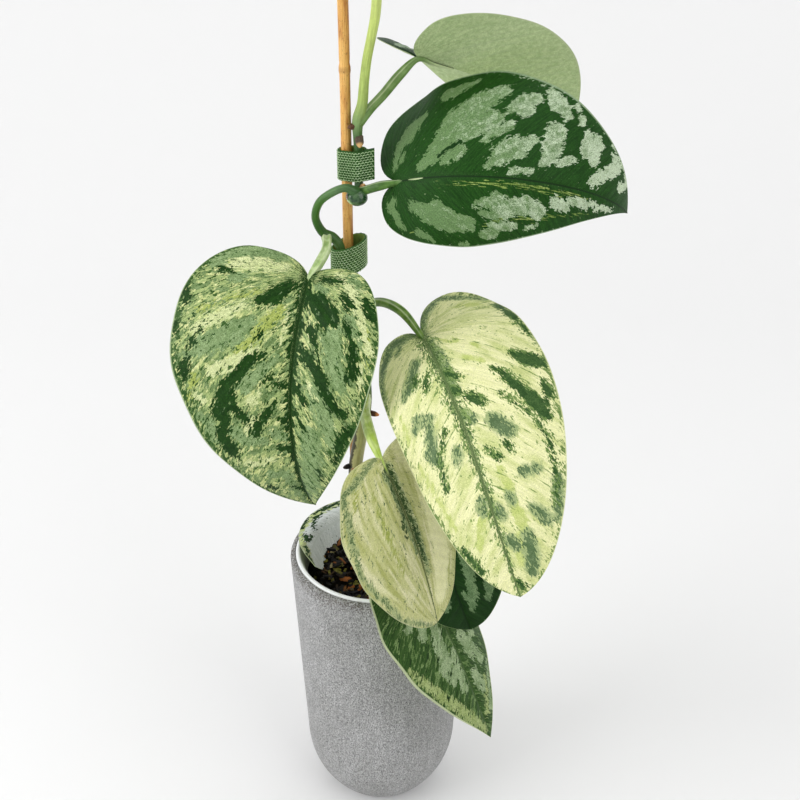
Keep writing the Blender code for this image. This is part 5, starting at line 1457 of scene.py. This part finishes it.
def hook_shapes(outer, middle, slope, furthest=math.inf):
    """Rows of small hooks over the outer face of a tie, with none further back than a limit."""
    closed = np.vstack([outer, outer[:1]])
    far = lengths_along(closed)
    around = int(round(far[-1] / HOOK_PITCH))
    pitch = far[-1] / around
    rows = int(TIE_WIDTH / HOOK_ROW)
    up = np.array([0.0, 0.0, HOOK_RISE])
    points, faces = [], []
    for row in range(rows):
        level = middle[1] + (row - 0.5 * (rows - 1)) * HOOK_ROW - 0.25
        for k in range(around):
            at = ((k + 0.5 * (row % 2)) * pitch) % far[-1]
            spot = point_at(at, far, closed)
            x, y = spot
            ahead = point_at((at + 0.2) % far[-1], far, closed)
            if y > furthest:
                continue
            sideways = unit([*(ahead - spot), 0.0])
            outward = np.cross(sideways, (0.0, 0.0, 1.0))
            origin = np.array([x, y, level + (x - middle[0]) * math.tan(math.radians(slope))])
            faces += tube_faces(HOOK_RINGS, HOOK_SIDES, len(points))
            for angle in np.linspace(0.0, math.pi, HOOK_RINGS):
                bow = math.sin(angle)
                centre = origin - sideways * 0.5 * HOOK_SPAN * math.cos(angle)
                centre = centre + up * (bow - 0.4) + outward * HOOK_STANDS * (0.25 + 0.75 * bow)
                tangent = unit(sideways * 0.5 * HOOK_SPAN * bow + up * math.cos(angle))
                inner = np.cross(tangent, outward)
                wire = HOOK_WIRE * (0.75 + 0.35 * bow)
                for turn in np.arange(HOOK_SIDES) * math.tau / HOOK_SIDES:
                    points.append(centre + wire * (math.cos(turn) * inner + math.sin(turn) * outward))
    return points, faces, 2


def strip_shapes(inner, outer, middle, slope):
    """The band itself, with slightly rounded and scalloped rims."""
    lift = math.tan(math.radians(slope))
    levels = len(TIE_LEVELS)
    points = []
    for loop, other in ((outer, inner), (inner, outer)):
        for level in TIE_LEVELS:
            rim = abs(level) == TIE_LEVELS[-1]
            for k, spot in enumerate(loop):
                x = spot[0]
                ripple = 0.0
                if rim:
                    spot = spot * (1.0 - TIE_RIM_PULL) + other[k] * TIE_RIM_PULL
                    ripple = TIE_RIM_WAVE * math.sin(math.tau * k / TIE_SIDES * TIE_RIM_WAVES)
                height = level * TIE_WIDTH + ripple + (x - middle[0]) * lift
                points.append((*spot, middle[1] + height))
    outside = ring_faces(levels, TIE_SIDES)
    inside = [face[::-1] for face in ring_faces(levels, TIE_SIDES, levels * TIE_SIDES)]
    faces = outside + inside
    for level, step in ((0, -1), (levels - 1, 1)):
        for k in range(TIE_SIDES):
            here, beside = level * TIE_SIDES + k, level * TIE_SIDES + (k + 1) % TIE_SIDES
            faces.append((here, beside, beside + levels * TIE_SIDES, here + levels * TIE_SIDES)[::step])
    return points, faces, [0] * len(outside) + [1] * len(inside) + [0] * (2 * TIE_SIDES)


def flap_shapes(middle):
    """The free end of the upper tie, standing out beside the stem."""
    lift = math.tan(math.radians(UPPER_TIE_SLOPE))
    points = []
    for height in (-0.5 * TIE_WIDTH, 0.5 * TIE_WIDTH):
        points += [(x, y, middle[1] + height + (x - middle[0]) * lift) for x, y in UPPER_TIE_FLAP]
    faces = [(3, 2, 1, 0), (4, 5, 6, 7)] + ring_faces(2, 4)
    return points, faces, [0, 0, 0, 1, 1, 1]


def make_ties():
    """Both ties, each a strip with its hooks outside."""
    stake = (*stake_at(UPPER_TIE_HEIGHT), STAKE_RADIUS)
    circles = [stake, UPPER_TIE_STEM]
    middle = (0.5 * (stake[0] + UPPER_TIE_STEM[0]), UPPER_TIE_HEIGHT)
    inner = wrapped_loop(circles, UPPER_TIE_ROOM)
    outer = wrapped_loop(circles, UPPER_TIE_ROOM + TIE_BACKING)
    strip = strip_shapes(inner, outer, middle, UPPER_TIE_SLOPE)
    hooks = hook_shapes(outer, middle, UPPER_TIE_SLOPE)
    flap_front = UPPER_TIE_FLAP[1][1] - 0.02
    flap_hooks = hook_shapes(np.array(UPPER_TIE_FLAP), middle, UPPER_TIE_SLOPE, flap_front)
    points, faces, kinds = join_shapes(strip, flap_shapes(middle), hooks, flap_hooks)
    looks = tie_material("tie_upper", (44, 84, 32), (160, 190, 138), (132, 160, 70))
    piece = add_mesh("upper_tie", points, faces, looks, kinds=kinds, sharp=60.0)
    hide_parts("tie_upper")
    middle = (LOWER_TIE_MIDDLE[0], LOWER_TIE_HEIGHT)
    inner = oval_loop(LOWER_TIE_MIDDLE, LOWER_TIE_RADII, 0.0)
    outer = oval_loop(LOWER_TIE_MIDDLE, LOWER_TIE_RADII, TIE_BACKING)
    strip = strip_shapes(inner, outer, middle, LOWER_TIE_SLOPE)
    points, faces, kinds = join_shapes(strip, hook_shapes(outer, middle, LOWER_TIE_SLOPE))
    looks = tie_material("tie_lower", (64, 104, 50), (176, 202, 154), (112, 140, 66))
    piece = add_mesh("lower_tie", points, faces, looks, kinds=kinds, sharp=60.0)
    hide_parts("tie_lower")


# Planter, nursery pot and substrate


def arc(centre, radius, start, end, steps):
    """Points on an arc in the profile plane, angles from +radius towards +height."""
    angles = np.radians(np.linspace(start, end, steps + 1))
    return [(centre[0] + radius * math.cos(a), centre[1] + radius * math.sin(a)) for a in angles]


def ring_points(radius, height, sides):
    """A level ring of points round +Z."""
    angles = [math.tau * k / sides for k in range(sides)]
    return [(radius * math.cos(a), radius * math.sin(a), height) for a in angles]


def turned(profile):
    """A profile of (radius, height) turned round +Z, whose points on the axis stay single."""
    points, faces, rings = [], [], []
    for radius, height in profile:
        if radius < 0.01:
            rings.append([len(points)] * TURNED_SIDES)
            points.append((0.0, 0.0, height))
        else:
            rings.append(list(range(len(points), len(points) + TURNED_SIDES)))
            points += ring_points(radius, height, TURNED_SIDES)
    for here, beyond in zip(rings, rings[1:]):
        for k in range(TURNED_SIDES):
            beside = (k + 1) % TURNED_SIDES
            corners = tuple(dict.fromkeys((here[k], here[beside], beyond[beside], beyond[k])))
            if len(corners) > 2:
                faces.append(corners)
    return points, faces


def make_planter():
    """The cast planter, with a step inside its lip for the nursery pot."""
    centre_radius = PLANTER_WAIST_RADIUS - PLANTER_BOTTOM_ARC
    centre_height = PLANTER_BOTTOM_ARC * math.sin(math.radians(PLANTER_BOTTOM_SWEEP))
    centre = (centre_radius, centre_height)
    outside = arc(centre, PLANTER_BOTTOM_ARC, -PLANTER_BOTTOM_SWEEP, 0.0, PLANTER_BOTTOM_STEPS)
    lip_centre = (PLANTER_LIP_RADIUS - PLANTER_LIP_ROUNDING, PLANTER_HEIGHT - PLANTER_LIP_ROUNDING)
    lip = arc(lip_centre, PLANTER_LIP_ROUNDING, 0.0, 85.0, PLANTER_LIP_STEPS)
    seat_radius = POT_FLANGE_RADIUS + SEAT_GAP
    seat_height = PLANTER_HEIGHT - SEAT_DEPTH
    floor = arc(centre, PLANTER_BOTTOM_ARC - PLANTER_WALL, 0.0, -40.0, INSIDE_STEPS)
    floor = [point for point in floor if point[1] > PLANTER_FLOOR]
    profile = [(0.0, 0.0), (outside[0][0] - 0.8, 0.0)] + outside + lip
    profile += [(seat_radius, PLANTER_HEIGHT), (seat_radius, seat_height)]
    profile += [(PLANTER_LIP_RADIUS - PLANTER_WALL, seat_height)]
    profile += [(PLANTER_WAIST_RADIUS - PLANTER_WALL, centre_height)]
    profile += floor[1:] + [(floor[-1][0] - 3.0, PLANTER_FLOOR), (0.0, PLANTER_FLOOR)]
    points, faces = turned(profile)
    shader = Shader("cast_grey", 0.9, 0.12)
    grit = shader.noise((0.7, 0.7, 0.95), 3.0, 0.65)
    grains = shader.cells(0.85)
    pits = shader.cells(2.1)
    cloud = shader.noise((26.0, 26.0, 40.0), 4.0, 0.6)
    streak = shader.noise((1.5, 1.5, 26.0))
    colour = shader.tint((186, 186, 185), (198, 198, 198), cloud, 0.35, 0.65)
    colour = shader.shade(colour, streak, 0.35, 0.65, 0.93, 1.05)
    colour = shader.shade(colour, grit, 0.36, 0.64, 0.62, 1.3)
    colour = shader.shade(colour, grains, 0.1, 0.6, 1.1, 0.86)
    colour = shader.shade(colour, pits, 0.06, 0.16, 0.6, 1.0)
    height_up = shader.parts_of("turned")[2]
    near_lip = shader.rise(height_up, PLANTER_HEIGHT - 16.0, PLANTER_HEIGHT - 2.0, -0.3, 0.04)
    crumbs = shader.plus(shader.noise(0.9, 3.0, 0.7), near_lip)
    colour = shader.tint(colour, (84, 74, 62), crumbs, 0.5, 0.62, 0.0, 0.75)
    rough = shader.plus(shader.rise(grains, 0.1, 0.6, 0.6, 0.0), shader.rise(pits, 0.04, 0.2))
    shader.finish(colour, shader.plus(grit, rough), 1.1)
    piece = add_mesh("cast_planter", points, faces, [shader.material], {"turned": points}, sharp=40.0)
    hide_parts("planter")


def make_nursery_pot():
    """The glossy white pot, hanging by its rolled rim."""
    seat = PLANTER_HEIGHT - SEAT_DEPTH + SEAT_GAP
    foot = PLANTER_HEIGHT - SEAT_DEPTH - POT_DEPTH
    top = PLANTER_HEIGHT + POT_RIM_RISE
    rim_centre = 0.5 * (POT_FLANGE_RADIUS + POT_FLANGE_INSIDE)
    rim_radius = 0.5 * (POT_FLANGE_RADIUS - POT_FLANGE_INSIDE)
    rim = arc((rim_centre, top - rim_radius), rim_radius, 0.0, 180.0, INSIDE_STEPS)
    profile = [(0.0, foot), (POT_FOOT_RADIUS - 1.5, foot), (POT_FOOT_RADIUS, foot + 1.5)]
    profile += [(POT_TOP_RADIUS, seat - 0.6), (POT_TOP_RADIUS + 0.2, seat), (POT_FLANGE_RADIUS, seat)]
    profile += rim + [(POT_TOP_RADIUS - POT_WALL, seat - 2.0)]
    profile += [(POT_FOOT_RADIUS - POT_WALL, foot + 3.0), (0.0, foot + POT_WALL + 0.8)]
    points, faces = turned(profile)
    shader = Shader("white_plastic", 0.28, 0.5)
    dust = shader.noise(5.0, 4.0, 0.65)
    colour = shader.tint((236, 238, 238), (222, 222, 216), dust, 0.5, 0.75)
    shader.finish(colour, shader.noise((14.0, 14.0, 3.0)), 0.1)
    piece = add_mesh("white_pot", points, faces, [shader.material], sharp=50.0)
    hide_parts("nursery_pot")


def pot_wall_radius(height):
    """The outer radius of the nursery pot's wall at a height."""
    share = (PLANTER_HEIGHT - SEAT_DEPTH - height) / POT_DEPTH
    return POT_TOP_RADIUS + (POT_FOOT_RADIUS - POT_TOP_RADIUS) * share


def soil_rise(x, y):
    """How far the substrate stands above its level at a point, heaped over the young leaf's inner edge."""
    spot = Vector((x / SOIL_LUMP_PITCH, y / SOIL_LUMP_PITCH, 0.3))
    lump = noise.fractal(spot, 0.9, 2.1, 4)
    radius = math.hypot(x, y) + 1.6 * lump
    angle = math.degrees(math.atan2(y, x)) % 360.0
    start, end = HEAP_ANGLES
    inner, middle, outer = HEAP_RADII
    share = smooth_share((angle - start) / HEAP_FADE) * smooth_share((end - angle) / HEAP_FADE)
    share *= smooth_share((radius - inner) / (middle - inner)) * smooth_share((outer - radius) / HEAP_EDGE)
    return min(SOIL_LUMP_LIMIT, max(-SOIL_LUMP_LIMIT, 1.5 * lump)) + HEAP_HEIGHT * float(share)


def chip_shapes(level, radius):
    """Loose chips over a disc: a shape and a tone from 0 to 1 for each."""
    random = np.random.default_rng(SOIL_SEED)
    drawn = []
    for number in range(CHIPS):
        away = radius * math.sqrt(random.uniform(0.0, 1.0))
        angle = random.uniform(0.0, math.tau)
        size = np.array([random.uniform(*limits) for limits in CHIP_SIZES])
        if number % BIG_CHIP_EVERY == 0:
            size *= BIG_CHIP_SCALE
        drawn.append((away, angle, size, random.uniform(-1.0, 1.0, 3), random.uniform(0.0, 1.0)))
    corners = np.array([(x, y, z) for z in (-1, 1) for y in (-1, 1) for x in (-1, 1)], float)
    middle_ring = [(-1.15, -0.9, 0.0), (1.15, -0.9, 0.0), (1.15, 0.9, 0.0), (-1.15, 0.9, 0.0)]
    form = np.vstack([corners, middle_ring])
    faces = [(0, 1, 9, 8), (1, 3, 10, 9), (3, 2, 11, 10), (2, 0, 8, 11), (8, 9, 5, 4)]
    faces += [(9, 10, 7, 5), (10, 11, 6, 7), (11, 8, 4, 6), (0, 2, 3, 1), (4, 5, 7, 6)]
    shapes, tones = [], []
    for away, angle, size, lean, tone in drawn:
        shape = form * size * 0.5
        shape = shape * (1.0 + random.uniform(-CHIP_ROUGHNESS, CHIP_ROUGHNESS, shape.shape))
        turn = random.uniform(0.0, math.tau)
        axis_x = unit([math.cos(turn), math.sin(turn), 0.35 * lean[0]])
        axis_y = unit(np.cross((0.3 * lean[1], 0.3 * lean[2], 1.0), axis_x))
        axes = np.stack([axis_x, axis_y, np.cross(axis_x, axis_y)])
        x, y = away * math.cos(angle), away * math.sin(angle)
        shapes.append((shape @ axes + (x, y, level + soil_rise(x, y) + 0.25 * size[2]), faces, 1))
        tones += [tone] * len(shape)
    return shapes, tones


def make_substrate():
    """Dark bark mix with loose chips and moss on its surface."""
    level = PLANTER_HEIGHT - SOIL_DROP
    foot = PLANTER_HEIGHT - SEAT_DEPTH - POT_DEPTH + POT_WALL + SOIL_FOOT_RISE
    top_radius = pot_wall_radius(level) - POT_WALL - SOIL_TOP_GAP
    foot_radius = pot_wall_radius(foot) - POT_WALL - SOIL_FOOT_GAP
    points = [(0.0, 0.0, level)]
    for ring in range(1, SOIL_RINGS):
        level_ring = ring_points(top_radius * ring / SOIL_RINGS, level, SOIL_SIDES)
        points += [(x, y, z + soil_rise(x, y)) for x, y, z in level_ring]
    points += ring_points(top_radius, level, SOIL_SIDES)
    bottom = len(points)
    points += ring_points(foot_radius, foot, SOIL_SIDES)
    faces = disc_faces(SOIL_RINGS + 1, SOIL_SIDES)
    faces.append(tuple(range(bottom, bottom + SOIL_SIDES))[::-1])
    chips, tones = chip_shapes(level, top_radius - CHIP_INSET)
    tones = [-1.0] * len(points) + tones
    points, faces, kinds = join_shapes((points, faces, 0), *chips)
    soil = Shader("bark_fines", 0.95, 0.1)
    rough = soil.noise(1.4, 4.0, 0.7)
    soil.finish(soil.tint((5, 5, 2), (22, 15, 7), rough, 0.4, 0.7), rough, 1.2)
    bark = Shader("bark_chips", 0.7, 0.3)
    grain = bark.noise((0.5, 1.4, 0.5), 4.0, 0.65)
    colour = bark.ramp(bark.value_of("tone"), CHIP_COLOURS)
    bark.finish(bark.vary(colour, grain, 0.55, 1.3), grain, 0.4)
    looks = [soil.material, bark.material]
    piece = add_mesh("bark_mix", points, faces, looks, {"tone": tones}, kinds, sharp=30.0)
    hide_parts("substrate")


# Floor, light and camera


def make_stage():
    """A pale round floor that sweeps up into a low wall on every side."""
    curve = np.linspace(0.0, 0.5 * math.pi, FLOOR_STEPS)
    profile = [(FLOOR_FLAT + FLOOR_BEND * math.sin(a), FLOOR_BEND - FLOOR_BEND * math.cos(a)) for a in curve]
    profile.append((FLOOR_FLAT + FLOOR_BEND, FLOOR_RISE))
    points = [(0.0, FLOOR_MIDDLE, 0.0)]
    for radius, height in profile:
        points += [(x, FLOOR_MIDDLE + y, z) for x, y, z in ring_points(radius, height, FLOOR_SIDES)]
    mesh = bpy.data.meshes.new("sweep")
    mesh.from_pydata(points, [], disc_faces(len(profile), FLOOR_SIDES))
    mesh.shade_smooth()
    mesh.materials.append(Shader("sweep", 0.9, 0.1).finish((236, 236, 236)))
    sweep = bpy.data.objects.new("sweep", mesh)
    bpy.context.scene.collection.objects.link(sweep)


def make_light():
    """Soft studio light from all round, strongest from above and the left."""
    world = bpy.data.worlds.new("studio")
    world.use_nodes = True
    world.node_tree.nodes["Background"].inputs["Color"].default_value = (1.0, 1.0, 1.0, 1.0)
    world.node_tree.nodes["Background"].inputs["Strength"].default_value = WORLD_STRENGTH
    bpy.context.scene.world = world
    for name, place, target, size, power in LIGHTS:
        light = bpy.data.lights.new(name, "AREA")
        light.size = size
        light.energy = power
        thing = bpy.data.objects.new(name, light)
        thing.location = place
        thing.rotation_euler = (Vector(target) - Vector(place)).to_track_quat("-Z", "Y").to_euler()
        bpy.context.scene.collection.objects.link(thing)
    bpy.context.scene.view_settings.view_transform = "Standard"


def make_camera():
    """The photograph's camera."""
    lens = bpy.data.cameras.new("camera")
    lens.lens = CAMERA_LENS
    lens.sensor_width = CAMERA_SENSOR
    lens.clip_start = 0.01
    camera = bpy.data.objects.new("camera", lens)
    camera.location = [part * MM for part in CAMERA_PLACE]
    camera.rotation_euler = (math.radians(CAMERA_TILT), 0.0, 0.0)
    bpy.context.scene.collection.objects.link(camera)
    bpy.context.scene.camera = camera


make_camera()
make_light()
make_stage()
make_planter()
make_nursery_pot()
make_substrate()
make_stake()
make_ties()
make_stem()
make_leaves()
